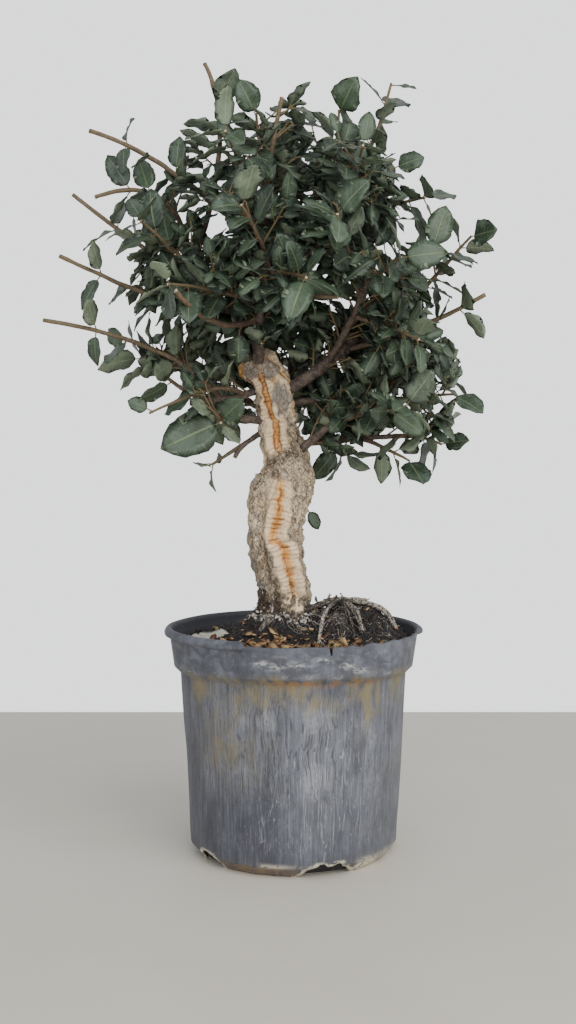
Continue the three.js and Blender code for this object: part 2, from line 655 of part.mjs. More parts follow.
/** Leaves of one branch, two or three to a seat, from the leafy end of its twig back. */
function growLeaves(branch, index, twig, leaves, wood) {
  const random = seeded(LEAF_SEED + index);
  const seats = [];
  let left = branch.leaves;
  let face = 0;
  for (let k = 0; left > 0; k++) {
    const atTip = k === 0 && !branch.bare;
    const share = twig.leafyEnd * (1 - (LEAFY_SHARE * k * LEAVES_A_SEAT) / branch.leaves) - 0.02;
    const section = sectionAt(twig, share);
    if (k === 0 && branch.lead) {
      face = faceTowards(section, vector(branch.lead.way).add(vector(branch.lead.face)));
    }
    const seat = { share, leaves: [] };
    seats.unshift(seat);
    const most = branch.lead ? 1 : 3;
    const count = Math.min(left, atTip ? most : LEAVES_A_SEAT);
    for (let i = 0; i < count; i++, face++) {
      const outward = acrossSection(section, 2 * (face % 3) + 1);
      const foot = section.centre.clone().addScaledVector(outward, section.radius / 2);
      for (let attempt = 0; attempt < LEAF_ATTEMPTS; attempt++) {
        let leaf = drawLeaf(foot, section.axis, outward, atTip ? 0.85 : 0.7, branch.scale ?? 1, random);
        if (k === 0 && i === 0 && branch.lead) leaf = drawLead(foot, outward, branch.lead, attempt, random);
        if (leaf.direction.dot(outward) < MIN_OUTWARD) continue;
        leaf = leafIfClear(leaf, leaves, wood);
        if (!leaf) continue;
        leaf.face = face % 3;
        leaves.push(leaf);
        seat.leaves.push(leaf);
        break;
      }
    }
    left -= count;
  }
  return seats;
}

/** Two triangles over four corners, split so that their fold stands outwards. */
function convexWall(corners, places) {
  const [a, b, c, d] = corners.map((i) => places[i]);
  const lift = b.clone().sub(a).cross(c.clone().sub(a)).dot(d.clone().sub(a));
  const [i, j, k, l] = lift > 0 ? [...corners.slice(1), corners[0]] : corners;
  return [i, j, k, i, k, l];
}

/** Walls between two rings of four corners. The blade's top and underside are split alike. */
function wallsBetween(near, far, places) {
  const edges = [1, 3].flatMap((i) => {
    const next = (i + 1) % 4;
    return convexWall([near[i], near[next], far[next], far[i]], places);
  });
  const under = [near[0], near[1], far[1], near[0], far[1], far[0]];
  return [...edges, ...under, near[2], near[3], far[2], near[3], far[3], far[2]];
}

/**
 * A thin arched blade with a tooth on each side, grown out of one face of its twig.
 * Each ring of it runs right under, left under, left top, right top.
 */
function addBlade(leaf, corners, places, index) {
  const { length, width, tooth, side, normal } = leaf;
  const half = normal.clone().multiplyScalar(LEAF_THICKNESS / 2);
  const ways = [
    side.clone().sub(normal),
    side.clone().add(normal).negate(),
    normal.clone().sub(side),
    side.clone().add(normal),
  ];
  const fit = (turn) =>
    ways.reduce((sum, way, i) => sum + places[corners[(i + turn) % 4]].clone().sub(leaf.foot).dot(way), 0);
  const turn = [0, 1, 2, 3].sort((a, b) => fit(b) - fit(a))[0];
  let ring = [0, 1, 2, 3].map((i) => corners[(i + turn) % 4]);
  const rows = [
    [PETIOLE_LENGTH + 0.12 * length, 0.32 * width, 0.32 * width],
    [PETIOLE_LENGTH + tooth * length, 0.5 * width, 0.47 * width],
    [PETIOLE_LENGTH + (tooth + 0.08) * length, 0.38 * width, 0.4 * width],
  ];
  for (const [along, left, right] of rows) {
    const next = [0, 1, 2, 3].map((i) => places.length + i);
    const onLeft = leafPoint(leaf, along, -left);
    const onRight = leafPoint(leaf, along, right);
    places.push(onRight.clone().sub(half), onLeft.clone().sub(half), onLeft.add(half), onRight.add(half));
    index.push(...wallsBetween(ring, next, places));
    ring = next;
  }
  const tip = leafPoint(leaf, PETIOLE_LENGTH + length, 0);
  const [under, top] = [places.length, places.length + 1];
  places.push(tip.clone().sub(half), tip.add(half));
  const [rightUnder, leftUnder, leftTop, rightTop] = ring;
  index.push(rightUnder, leftUnder, under, leftTop, rightTop, top);
  index.push(leftUnder, leftTop, top, leftUnder, top, under);
  index.push(rightTop, rightUnder, under, rightTop, under, top);
}

/** One leafy branch as a single closed skin: a three-sided twig with blades grown from its faces. */
function branchGeometry(branch, twig, seats) {
  const sections = [{ section: sectionAt(twig, 0) }, { section: sectionAt(twig, seats[0].share / 2) }];
  for (const seat of seats) {
    sections.push({ section: sectionAt(twig, seat.share, -SEAT_HALF_LENGTH), leaves: seat.leaves });
    sections.push({ section: sectionAt(twig, seat.share, SEAT_HALF_LENGTH) });
  }
  if (branch.bare) sections.push({ section: sectionAt(twig, 1) });
  const places = sections.flatMap(({ section }) =>
    [0, 2, 4].map((sixths) =>
      acrossSection(section, sixths).multiplyScalar(section.radius).add(section.centre),
    ),
  );
  const last = 3 * (sections.length - 1);
  const index = [0, 2, 1, last, last + 1, last + 2];
  sections.slice(0, -1).forEach(({ leaves = [] }, i) => {
    for (let face = 0; face < 3; face++) {
      const next = (face + 1) % 3;
      const corners = [3 * i + face, 3 * i + next, 3 * i + 3 + next, 3 * i + 3 + face];
      const leaf = leaves.find((one) => one.face === face);
      if (leaf) addBlade(leaf, corners, places, index);
      else index.push(corners[0], corners[1], corners[2], corners[0], corners[2], corners[3]);
    }
  });
  const geometry = new THREE.BufferGeometry();
  geometry.setAttribute("position", new THREE.Float32BufferAttribute(places.flatMap((p) => p.toArray()), 3));
  geometry.setIndex(index);
  return geometry;
}

// Assembly

const material = (color, roughness) => new THREE.MeshStandardMaterial({ color, roughness, metalness: 0 });
const potMaterial = material("#62656c", 0.62);
const soilMaterial = material("#2b2622", 0.95);
const corkMaterial = material("#a8977e", 0.9);
const rootMaterial = material("#8d857b", 0.9);
const leafMaterial = material("#39493c", 0.5);

const bonsai = new THREE.Group();
bonsai.name = "cork_oak_bonsai";

const trunk = trunkSolid(0);
const trunkHole = trunkSolid(SEAT_GAP);
const roots = rootSolid(0).subtract(trunkHole);
const soil = solidOf(soilGeometry()).subtract(trunkHole).subtract(rootSolid(SEAT_GAP));

bonsai.add(meshOf("pot", potSolid(), potMaterial));
bonsai.add(meshOf("soil", soil, soilMaterial));
bonsai.add(meshOf("trunk", trunk, corkMaterial));
roots.decompose().forEach((root, i) => bonsai.add(meshOf(`root_${i + 1}`, root, rootMaterial)));

const wood = trunkBalls();
for (const [name, limb] of Object.entries(LIMBS)) {
  wood.push(...ballsAlong(bend(limb.path), limb.radii, name));
}
const twigs = BRANCHES.map((branch, index) => growTwig(branch, index, wood));
const leaves = [];
BRANCHES.forEach((branch, index) => {
  const seats = growLeaves(branch, index, twigs[index], leaves, wood);
  const solid = solidOf(branchGeometry(branch, twigs[index], seats)).subtract(trunkHole);
  const name = `leafy_branch_${String(index + 1).padStart(2, "0")}`;
  bonsai.add(meshOf(name, largestBody(solid), leafMaterial));
});

export default bonsai;
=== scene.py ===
"""Looks of a cork oak bonsai in a round nursery pot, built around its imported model.

Sizes are millimetres until a mesh is made. The origin is the centre of the pot's underside, +Z is
up and the viewer looks along +Y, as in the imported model.
"""

import logging
import math
from dataclasses import dataclass, field
from enum import Enum
from typing import Callable, Optional, Sequence, Union

import bpy
import numpy as np
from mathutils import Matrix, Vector


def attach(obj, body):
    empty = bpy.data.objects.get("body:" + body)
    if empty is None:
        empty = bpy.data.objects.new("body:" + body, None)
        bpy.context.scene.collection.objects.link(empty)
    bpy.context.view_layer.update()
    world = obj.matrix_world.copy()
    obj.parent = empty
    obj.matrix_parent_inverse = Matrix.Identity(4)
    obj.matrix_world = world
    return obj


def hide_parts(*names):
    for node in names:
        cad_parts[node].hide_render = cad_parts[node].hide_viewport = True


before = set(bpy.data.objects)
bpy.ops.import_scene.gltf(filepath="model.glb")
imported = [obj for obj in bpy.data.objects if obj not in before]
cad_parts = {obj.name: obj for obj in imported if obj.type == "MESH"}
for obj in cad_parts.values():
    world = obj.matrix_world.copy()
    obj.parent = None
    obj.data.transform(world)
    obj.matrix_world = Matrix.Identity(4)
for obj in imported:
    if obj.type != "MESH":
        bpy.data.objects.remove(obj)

Array = np.ndarray
Socket = bpy.types.NodeSocket
Value = Union[Socket, float, tuple]

LOG = logging.getLogger("bonsai")
MM = 0.001
BODY = "root"


# Numbers and curves


def unit(vectors: Array) -> Array:
    """Each vector divided by its length."""
    return vectors / np.maximum(np.linalg.norm(vectors, axis=-1, keepdims=True), 1e-12)


def smooth_step(low: float, high: float, value: Array) -> Array:
    """3t^2 - 2t^3, where t runs from 0 at low to 1 at high and stays there."""
    t = np.clip((value - low) / (high - low), 0, 1)
    return t * t * (3 - 2 * t)


def between(low: float, full: float, fade: float, gone: float, value: Array) -> Array:
    """1 from full to fade, and down in smooth steps to 0 at low and at gone."""
    return smooth_step(low, full, value) * (1 - smooth_step(fade, gone, value))


def bump_at(value: Array, middle: float, width: float) -> Array:
    """A bell exp(-d^2), where d is the distance from middle in widths."""
    return np.exp(-(((value - middle) / width) ** 2))


def lattice(cells: Array, seed: int) -> Array:
    """Scrambled value from 0 to 1 for each whole-number cell.

    Args:
        cells: Whole numbers, three in the last axis.
        seed: Picks one of many unrelated scramblings.

    Returns:
        One value a cell.
    """
    mixed = cells[..., 0] * 73856093 ^ cells[..., 1] * 19349663 ^ cells[..., 2] * 83492791
    mixed = (mixed ^ seed * 668265263) & 0x7FFFFFFF
    mixed = ((mixed ^ (mixed >> 13)) * 1274126177) & 0x7FFFFFFF
    mixed = ((mixed ^ (mixed >> 15)) * 668265263) & 0x7FFFFFFF
    return ((mixed >> 7) & 0xFFFF) / 0xFFFF


def rough_field(points: Array, size: Union[float, Sequence[float]], seed: int = 0, layers: int = 1) -> Array:
    """Smooth random relief: corner values of a grid of cells, blended by 3t^2 - 2t^3 along each axis.

    Each further layer has half the cell size and half the height.

    Args:
        points: Places, three numbers in the last axis.
        size: Cell size, one number or one for each axis.
        seed: Picks the relief.
        layers: How many layers are added.

    Returns:
        One value a place, about -1 to 1.
    """
    total = np.zeros(points.shape[:-1])
    for layer in range(layers):
        cells = points / (np.asarray(size) / 2**layer)
        base = np.floor(cells).astype(np.int64)
        share = cells - base
        share = share * share * (3 - 2 * share)
        for corner in np.ndindex(2, 2, 2):
            weight = np.prod(np.where(np.array(corner) == 1, share, 1 - share), axis=-1)
            total += weight * (2 * lattice(base + np.array(corner), seed + 31 * layer) - 1) / 2**layer
    return total


def plates(points: Array, size: Sequence[float], seed: int) -> tuple:
    """Plates round random seeds, one in each cell of a grid, that meet along thin cracks.

    Args:
        points: Places, three numbers in the last axis.
        size: Cell size along each axis.
        seed: Picks the pattern.

    Returns:
        Distance to the second nearest seed less that to the nearest, in cells, which is nought in a
        crack, and a value from 0 to 1 that is the same all over a plate.
    """
    cells = points / np.asarray(size)
    base = np.floor(cells).astype(np.int64)
    nearest, second = np.full(cells.shape[:-1], 9.0), np.full(cells.shape[:-1], 9.0)
    tone = np.zeros(cells.shape[:-1])
    for step in np.ndindex(3, 3, 3):
        cell = base + np.array(step) - 1
        middle = cell + np.stack([lattice(cell, seed + i) for i in range(3)], -1)
        distance = np.linalg.norm(cells - middle, axis=-1)
        closer = distance < nearest
        second = np.where(closer, nearest, np.minimum(second, distance))
        tone = np.where(closer, lattice(cell, seed + 3), tone)
        nearest = np.minimum(nearest, distance)
    return second - nearest, tone


def bezier(path: Array, shares: Array) -> Array:
    """Quadratic Bezier curve: (1-t)^2 a + 2t(1-t) b + t^2 c.

    Args:
        path: The start a, bend b and end c.
        shares: Values of t.

    Returns:
        One place a share.
    """
    a, b, c = np.asarray(path, float)
    t = np.asarray(shares, float)[..., None]
    return (1 - t) ** 2 * a + 2 * t * (1 - t) * b + t * t * c


def catmull(points: Array, shares: Array) -> Array:
    """Uniform Catmull-Rom curve of tension 0.5, with its ends carried on in a straight line.

    Args:
        points: Control values, one a row.
        shares: Places along it from 0 to 1.

    Returns:
        One row of values a share.
    """
    points = np.asarray(points, float)
    padded = np.vstack([2 * points[0] - points[1], points, 2 * points[-1] - points[-2]])
    place = np.clip(np.asarray(shares, float), 0, 1) * (len(points) - 1)
    first = np.minimum(np.floor(place).astype(int), len(points) - 2)
    t = (place - first)[..., None]
    before, start, end, after = (padded[first + i] for i in range(4))
    leave, arrive = (end - before) / 2, (after - start) / 2
    square = (3 * (end - start) - 2 * leave - arrive) * t**2
    return start + leave * t + square + (2 * (start - end) + leave + arrive) * t**3


def tangent(curve: Callable[[Array], Array], shares: Array) -> Array:
    """Unit direction of a curve, from two places 0.0001 either side of each share."""
    shares = np.asarray(shares, float)
    return unit(curve(np.minimum(shares + 1e-4, 1)) - curve(np.maximum(shares - 1e-4, 0)))


# Meshes


def grid_quads(rows: int, columns: int, wrap: bool, first: int = 0) -> Array:
    """Quads of a grid whose rows run along a surface and whose columns run across it.

    Corner order is (row, column), (row, column + 1), (row + 1, column + 1), (row + 1, column).

    Args:
        rows: Number of rows.
        columns: Number of columns.
        wrap: Whether the last column joins the first.
        first: Index of the first vertex.

    Returns:
        Quads as rows of four indices.
    """
    row, column = np.meshgrid(np.arange(rows - 1), np.arange(columns - (not wrap)), indexing="ij")
    after = (column + 1) % columns
    corners = [row * columns + column, row * columns + after, (row + 1) * columns + after, (row + 1) * columns + column]
    return np.stack(corners, axis=-1).reshape(-1, 4) + first


def fan(ring: Array, centre: int, outwards: bool) -> Array:
    """Triangles from a closed ring of vertices to one vertex, facing along the ring's axis or against it.

    Args:
        ring: Vertices in order.
        centre: The vertex in the middle.
        outwards: Whether they face along the axis.

    Returns:
        Triangles as rows of three indices.
    """
    after = np.roll(ring, -1)
    sides = (ring, after) if outwards else (after, ring)
    return np.stack([np.full(len(ring), centre), *sides], axis=-1)


@dataclass
class Patch:
    """Vertices with their faces and marks, part of a piece's mesh."""

    points: Array
    faces: list = field(default_factory=list)
    marks: dict = field(default_factory=dict)
    flat: Optional[Array] = None

    def add(self, faces: Array, finish: int = 0) -> "Patch":
        """Adds quads or triangles that take the finish of that number."""
        self.faces.append((faces, finish))
        return self


def tubes(paths: Array, radii: Array, sides: int, finish: int = 0, end_finish: Optional[int] = None) -> Patch:
    """Closed tubes: at each place of a path, a ring of radius r round the path's direction.

    A ring's point is centre + r (cos a u + sin a v), where u and v lie across the path. Each end is
    closed by a fan.

    Args:
        paths: Places, shaped (tubes, rings, 3).
        radii: Radii, shaped (tubes, rings) or (tubes, rings, sides).
        sides: Points round a ring.
        finish: Number of the tube's finish.
        end_finish: Number of the far end's finish, if it is another.

    Returns:
        All tubes as one patch.
    """
    count, rings = paths.shape[:2]
    along = unit(np.gradient(paths, axis=1))
    chord = unit(paths[:, -1] - paths[:, 0])
    plane = np.cross(paths[:, rings // 2] - paths[:, 0], paths[:, -1] - paths[:, 0])
    plane /= np.maximum(np.sum((paths[:, -1] - paths[:, 0]) ** 2, axis=-1, keepdims=True), 1e-9)
    steady = np.eye(3)[np.argmin(np.abs(chord), axis=-1)]
    plane = plane * 10 + 0.3 * unit(np.cross(chord, steady))
    u = unit(np.cross(along, plane[:, None, :]))
    v = np.cross(along, u)
    turn = np.arange(sides) * 2 * np.pi / sides
    radii = radii if radii.ndim == 3 else np.repeat(radii[..., None], sides, axis=2)
    ring = np.cos(turn)[:, None] * u[:, :, None, :] + np.sin(turn)[:, None] * v[:, :, None, :]
    body = paths[:, :, None, :] + ring * radii[..., None]
    points = np.concatenate([body.reshape(count, -1, 3), paths[:, :1], paths[:, -1:]], axis=1)
    each = rings * sides
    start = np.arange(count)[:, None, None] * (each + 2)
    quads = grid_quads(rings, sides, True)
    near = fan(np.arange(sides), each, False)
    far = fan(np.arange(sides) + each - sides, each + 1, True)
    patch = Patch(points.reshape(-1, 3))
    patch.add((quads + start).reshape(-1, 4), finish).add((near + start).reshape(-1, 3), finish)
    patch.add((far + start).reshape(-1, 3), finish if end_finish is None else end_finish)
    patch.marks["stem"] = np.tile(np.append(np.repeat(np.linspace(0, 1, rings), sides), [0, 1]), count)
    return patch


def lumps(centres: Array, sizes: Array, seed: int, finish: int = 0) -> Patch:
    """Small uneven stones or crumbs: eight corners of a box, each moved by chance.

    Args:
        centres: One place each.
        sizes: Three half sizes each.
        seed: Seed of the uneven corners.
        finish: Number of the finish.

    Returns:
        All of them as one patch of quads.
    """
    random = np.random.default_rng(seed)
    corners = np.array([[x, y, z] for x in (-1, 1) for y in (-1, 1) for z in (-1, 1)], float)
    shape = corners * random.uniform(0.55, 1.15, (len(centres), 8, 3))
    turn = random.uniform(0, 2 * np.pi, len(centres))
    cos, sin, nought = np.cos(turn), np.sin(turn), np.zeros(len(centres))
    spin = np.stack([cos, -sin, nought, sin, cos, nought, nought, nought, nought + 1], -1).reshape(-1, 1, 3, 3)
    points = centres[:, None, :] + (spin @ (shape * sizes[:, None, :])[..., None])[..., 0]
    quads = np.array([[0, 1, 3, 2], [4, 6, 7, 5], [0, 4, 5, 1], [2, 3, 7, 6], [0, 2, 6, 4], [1, 5, 7, 3]])
    starts = np.arange(len(centres))[:, None, None] * 8
    patch = Patch(points.reshape(-1, 3)).add((quads + starts).reshape(-1, 4), finish)
    patch.marks["tone"] = np.repeat(random.uniform(0, 1, len(centres)), 8)
    return patch


def make_piece(
    name: str, patches: Sequence[Patch], finishes: Sequence["Finish"], slot: str, *nodes: str
) -> bpy.types.Object:
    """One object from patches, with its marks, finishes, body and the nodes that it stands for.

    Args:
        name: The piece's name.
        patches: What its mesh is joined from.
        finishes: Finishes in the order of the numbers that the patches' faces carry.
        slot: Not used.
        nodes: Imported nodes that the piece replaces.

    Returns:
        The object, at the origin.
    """
    starts = np.cumsum([0] + [len(patch.points) for patch in patches])
    points = np.concatenate([patch.points for patch in patches])
    groups = [(faces + start, finish) for patch, start in zip(patches, starts) for faces, finish in patch.faces]
    corners = np.concatenate([faces.ravel() for faces, _ in groups])
    sides = np.concatenate([np.full(len(faces), faces.shape[1]) for faces, _ in groups])
    numbers = np.concatenate([np.full(len(faces), finish) for faces, finish in groups])
    mesh = bpy.data.meshes.new(name)
    mesh.vertices.add(len(points))
    mesh.vertices.foreach_set("co", (points * MM).astype(np.float32).ravel())
    mesh.loops.add(len(corners))
    mesh.loops.foreach_set("vertex_index", corners.astype(np.int32))
    mesh.polygons.add(len(sides))
    mesh.polygons.foreach_set("loop_start", np.append(0, np.cumsum(sides)[:-1]).astype(np.int32))
    mesh.polygons.foreach_set("material_index", numbers.astype(np.int32))
    mesh.polygons.foreach_set("use_smooth", np.ones(len(sides), bool))
    for mark in sorted({mark for patch in patches for mark in patch.marks}):
        values = [patch.marks.get(mark, np.zeros(len(patch.points))) for patch in patches]
        layer = mesh.attributes.new(mark, "FLOAT", "POINT")
        layer.data.foreach_set("value", np.concatenate(values).astype(np.float32))
    if any(patch.flat is not None for patch in patches):
        flats = [np.zeros((len(p.points), 2)) if p.flat is None else p.flat for p in patches]
        layer = mesh.uv_layers.new(name="blade")
        layer.data.foreach_set("uv", np.concatenate(flats)[corners].astype(np.float32).ravel())
    mesh.update(calc_edges=True)
    for finish in finishes:
        mesh.materials.append(finish.material())
    piece = bpy.data.objects.new(name, mesh)
    bpy.context.scene.collection.objects.link(piece)
    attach(piece, BODY)
    if nodes:
        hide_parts(*nodes)
    LOG.info("%s: %d faces", name, len(sides))
    return piece


# Shader nodes


def tint(code: str) -> tuple:
    """Linear colour with full alpha from a six-digit code."""
    parts = [int(code[i : i + 2], 16) / 255 for i in (0, 2, 4)]
    return (*(p / 12.92 if p <= 0.04045 else ((p + 0.055) / 1.055) ** 2.4 for p in parts), 1.0)


class Shader:
    """Short ways to add nodes to one shader tree."""

    def __init__(self, tree: bpy.types.NodeTree) -> None:
        """Takes the tree that the nodes go into."""
        self.tree = tree

    def node(self, kind: str, inputs: dict, **settings: object) -> bpy.types.Node:
        """A node with its settings made and its inputs set or linked.

        Args:
            kind: The node's type, without its first word.
            inputs: A value or a socket for each input, by name or number.
            settings: The node's own properties.

        Returns:
            The node.
        """
        made = self.tree.nodes.new("ShaderNode" + kind)
        for key, value in settings.items():
            setattr(made, key, value)
        self.feed(made, inputs)
        return made

    def feed(self, node: bpy.types.Node, inputs: dict) -> None:
        """Sets or links inputs of a node.

        Args:
            node: The node.
            inputs: A value or a socket for each input, by name or number.
        """
        for key, value in inputs.items():
            if isinstance(value, Socket):
                self.tree.links.new(value, node.inputs[key])
            else:
                node.inputs[key].default_value = value

    def maths(self, operation: str, *values: Value) -> Socket:
        """Result of a Math node."""
        return self.node("Math", dict(enumerate(values)), operation=operation).outputs[0]

    def times(self, first: Value, second: Value) -> Socket:
        """Product of two values."""
        return self.maths("MULTIPLY", first, second)

    def line(self, value: Value, slope: Value, start: Value) -> Socket:
        """A value times a slope, plus a start."""
        return self.maths("MULTIPLY_ADD", value, slope, start)

    def place(self) -> Socket:
        """Object coordinates in millimetres."""
        return self.scaled(self.node("TexCoord", {}).outputs["Object"], (1 / MM,) * 3)

    def bent(self, vector: Socket, over: Socket, scale: float, detail: float, reach: tuple) -> Socket:
        """A vector moved about by noise.

        Args:
            vector: The vector.
            over: What the noise runs over.
            scale: The noise's scale.
            detail: The noise's detail.
            reach: Longest move along each axis.

        Returns:
            The moved vector.
        """
        noise = self.node("TexNoise", {"Vector": over, "Scale": scale, "Detail": detail}).outputs[1]
        return self.node("VectorMath", {0: noise, 1: reach, 2: vector}, operation="MULTIPLY_ADD").outputs[0]

    def scaled(self, vector: Socket, scale: Sequence[float]) -> Socket:
        """A vector times a scale for each axis."""
        return self.node("VectorMath", {0: vector, 1: tuple(scale)}, operation="MULTIPLY").outputs[0]

    def noise(self, vector: Socket, scale: Value, detail: float = 3, twist: float = 0) -> Socket:
        """Noise from 0 to 1 over a vector."""
        inputs = {"Vector": vector, "Scale": scale, "Detail": detail, "Distortion": twist}
        return self.node("TexNoise", inputs).outputs[0]

    def band(self, value: Value, low: Value, high: Value) -> Socket:
        """Smooth step of a value from 0 at low to 1 at high."""
        inputs = {"Value": value, "From Min": low, "From Max": high}
        return self.node("MapRange", inputs, interpolation_type="SMOOTHSTEP").outputs[0]

    def mark(self, name: str) -> Socket:
        """One of the mesh's own marks."""
        return self.node("Attribute", {}, attribute_name=name).outputs["Fac"]

    def mix(self, share: Value, first: Value, second: Value) -> Socket:
        """Colour between two others."""
        return self.node("Mix", {0: share, 6: first, 7: second}, data_type="RGBA").outputs[2]

    def coat(self, colour: Value, mask: Socket, strength: Value, top: Value) -> Socket:
        """A colour with another over it where a mask is, at a strength."""
        return self.mix(self.times(mask, strength), colour, top)

    def mix_values(self, share: Value, first: Value, second: Value) -> Socket:
        """The first value where share is 0 and the second where it is 1."""
        return self.line(share, self.maths("SUBTRACT", second, first), first)

    def bump(self, height: Socket, depth: float, strength: float = 1) -> Socket:
        """Normal of a height from 0 to 1 that stands for a depth in millimetres."""
        inputs = {"Height": height, "Distance": depth * MM, "Strength": strength}
        return self.node("Bump", inputs).outputs[0]

    def group(self, tree: bpy.types.NodeTree, inputs: dict) -> bpy.types.Node:
        """A node group with its own values."""
        return self.node("Group", inputs, node_tree=tree)


def shader_group(name: str, inputs: dict, outputs: Sequence[str], fill: Callable) -> bpy.types.NodeTree:
    """A shader node group, built the first time that it is asked for.

    Args:
        name: The group's name.
        inputs: Default value of each input; None makes a vector input.
        outputs: Names of the outputs, each one value.
        fill: Takes a Shader and the inputs' sockets by name, and returns the outputs' sockets.

    Returns:
        The group.
    """
    if name in bpy.data.node_groups:
        return bpy.data.node_groups[name]
    tree = bpy.data.node_groups.new(name, "ShaderNodeTree")
    for key, value in inputs.items():
        kind = "NodeSocketVector" if value is None else "NodeSocketFloat"
        socket = tree.interface.new_socket(name=key, in_out="INPUT", socket_type=kind)
        if value is not None:
            socket.default_value = value
    for key in outputs:
        tree.interface.new_socket(name=key, in_out="OUTPUT", socket_type="NodeSocketFloat")
    start, end = tree.nodes.new("NodeGroupInput"), tree.nodes.new("NodeGroupOutput")
    for made, target in zip(fill(Shader(tree), start.outputs), end.inputs):
        tree.links.new(made, target)
    return tree


def blotches() -> bpy.types.NodeTree:
    """Group: soft-edged patches that cover a share of a surface, with a finer ragged edge.

    Returns:
        The group.
    """

    def fill(shader: Shader, given: dict) -> list:
        """Noise of the patch size, with finer noise added, cut at the wanted share.

        Args:
            shader: Adds nodes to the group.
            given: The inputs' sockets by name.

        Returns:
            The outputs' sockets.
        """
        coarse = shader.noise(given["Vector"], given["Scale"], 2)
        fine = shader.noise(given["Vector"], shader.times(given["Scale"], 6.0), 2)
        mixed = shader.line(fine, 0.35, shader.times(coarse, 0.8))
        cut = shader.maths("SUBTRACT", 0.8, shader.times(given["Share"], 0.5))
        return [shader.band(mixed, cut, shader.maths("ADD", cut, given["Softness"]))]

    return shader_group("blotches", {"Vector": None, "Scale": 0.1, "Share": 0.3, "Softness": 0.08}, ["Mask"], fill)


def scratches() -> bpy.types.NodeTree:
    """Group: fine marks drawn out along Z, with long and short ones, over a vector in millimetres.

    Returns:
        The group.
    """

    def fill(shader: Shader, given: dict) -> list:
        """Two stretched noises, each cut near its top, the second broken up by patches.

        Args:
            shader: Adds nodes to the group.
            given: The inputs' sockets by name.

        Returns:
            The outputs' sockets.
        """
        long = shader.noise(shader.scaled(given["Vector"], (1, 1, 0.03)), given["Scale"], 3)
        short = shader.noise(shader.scaled(given["Vector"], (1.7, 1.7, 0.14)), given["Scale"], 2)
        parts = shader.noise(given["Vector"], 0.12, 2)
        lines = shader.band(long, 0.56, 0.72)
        ticks = shader.times(shader.band(short, 0.6, 0.72), shader.band(parts, 0.45, 0.6))
        return [shader.maths("MAXIMUM", lines, ticks)]

    return shader_group("scratches", {"Vector": None, "Scale": 0.8}, ["Mask"], fill)


def scores() -> bpy.types.NodeTree:
    """Group: long thin strokes drawn out along Z and a little bent, as where a surface was scored.

    Returns:
        The group.
    """

    def fill(shader: Shader, given: dict) -> list:
        """The level line of a stretched noise over a gently bent vector, broken up by patches.

        Args:
            shader: Adds nodes to the group.
            given: The inputs' sockets by name.

        Returns:
            The outputs' sockets.
        """
        slow = shader.scaled(given["Vector"], (0.03, 0.03, 0.035))
        bent = shader.bent(given["Vector"], slow, 1.0, 1.0, (8, 8, 0))
        drawn = shader.node("VectorMath", {0: bent, 1: given["Stretch"]}, operation="MULTIPLY")
        level = shader.maths("ABSOLUTE", shader.maths("SUBTRACT", shader.noise(drawn.outputs[0], 1.0, 1), 0.5))
        lines = shader.band(level, given["Width"], 0.0)
        parts = shader.noise(shader.scaled(given["Vector"], (1, 1, 0.35)), 0.16, 2)
        cut = shader.maths("SUBTRACT", 0.75, shader.times(given["Share"], 0.5))
        return [shader.times(lines, shader.band(parts, cut, shader.maths("ADD", cut, 0.1)))]

    inputs = {"Vector": None, "Stretch": None, "Width": 0.08, "Share": 0.5}
    return shader_group("scores", inputs, ["Mask"], fill)


def cracks() -> bpy.types.NodeTree:
    """Group: thin cracks between plates of two sizes, drawn out along Z, and wavy lines among them.

    Returns:
        The group.
    """

    def fill(shader: Shader, given: dict) -> list:
        """Edges of stretched Voronoi cells and level lines of a stretched noise, over a bent vector.

        Args:
            shader: Adds nodes to the group.
            given: The inputs' sockets by name.

        Returns:
            The outputs' sockets.
        """
        bent = shader.bent(given["Vector"], given["Vector"], 0.3, 3.0, (3.2, 3.2, 3.2))
        edges = []
        for stretch, width in (((0.24, 0.24, 0.11), 0.045), ((0.5, 0.5, 0.24), 0.06)):
            drawn = shader.scaled(bent, stretch)
            cells = shader.node("TexVoronoi", {"Vector": drawn, "Scale": 1.0}, feature="DISTANCE_TO_EDGE")
            edges.append(shader.band(cells.outputs["Distance"], width, 0.0))
        level = shader.noise(shader.scaled(bent, (0.1, 0.1, 0.035)), 1.0, 1)
        saw = shader.maths("PINGPONG", shader.times(level, 24.0), 0.5)
        parts = shader.noise(given["Vector"], 0.13, 2)
        rough = shader.times(edges[1], shader.band(parts, 0.48, 0.6))
        wavy = shader.times(shader.band(saw, 0.12, 0.04), shader.band(parts, 0.6, 0.48))
        fine = shader.times(shader.maths("MAXIMUM", rough, wavy), 0.9)
        return [shader.maths("MAXIMUM", shader.times(edges[0], shader.band(parts, 0.3, 0.5)), fine)]

    return shader_group("cracks", {"Vector": None}, ["Mask"], fill)


def grain() -> bpy.types.NodeTree:
    """Group: height and shade of a rough natural surface at one grain size, in millimetres.

    Returns:
        The group.
    """

    def fill(shader: Shader, given: dict) -> list:
        """Noise at the grain's scale for height, and the same with a coarser one for shade.

        Args:
            shader: Adds nodes to the group.
            given: The inputs' sockets by name.

        Returns:
            The outputs' sockets.
        """
        scale = shader.maths("DIVIDE", 1.0, given["Size"])
        height = shader.noise(given["Vector"], scale, 5)
        broad = shader.noise(given["Vector"], shader.times(scale, 0.22), 3)
        shade = shader.maths("ADD", shader.times(height, 0.55), shader.times(broad, 0.45))
        return [height, shader.band(shade, 0.36, 0.64)]

    return shader_group("grain", {"Vector": None, "Size": 2.0}, ["Height", "Shade"], fill)


# Finishes


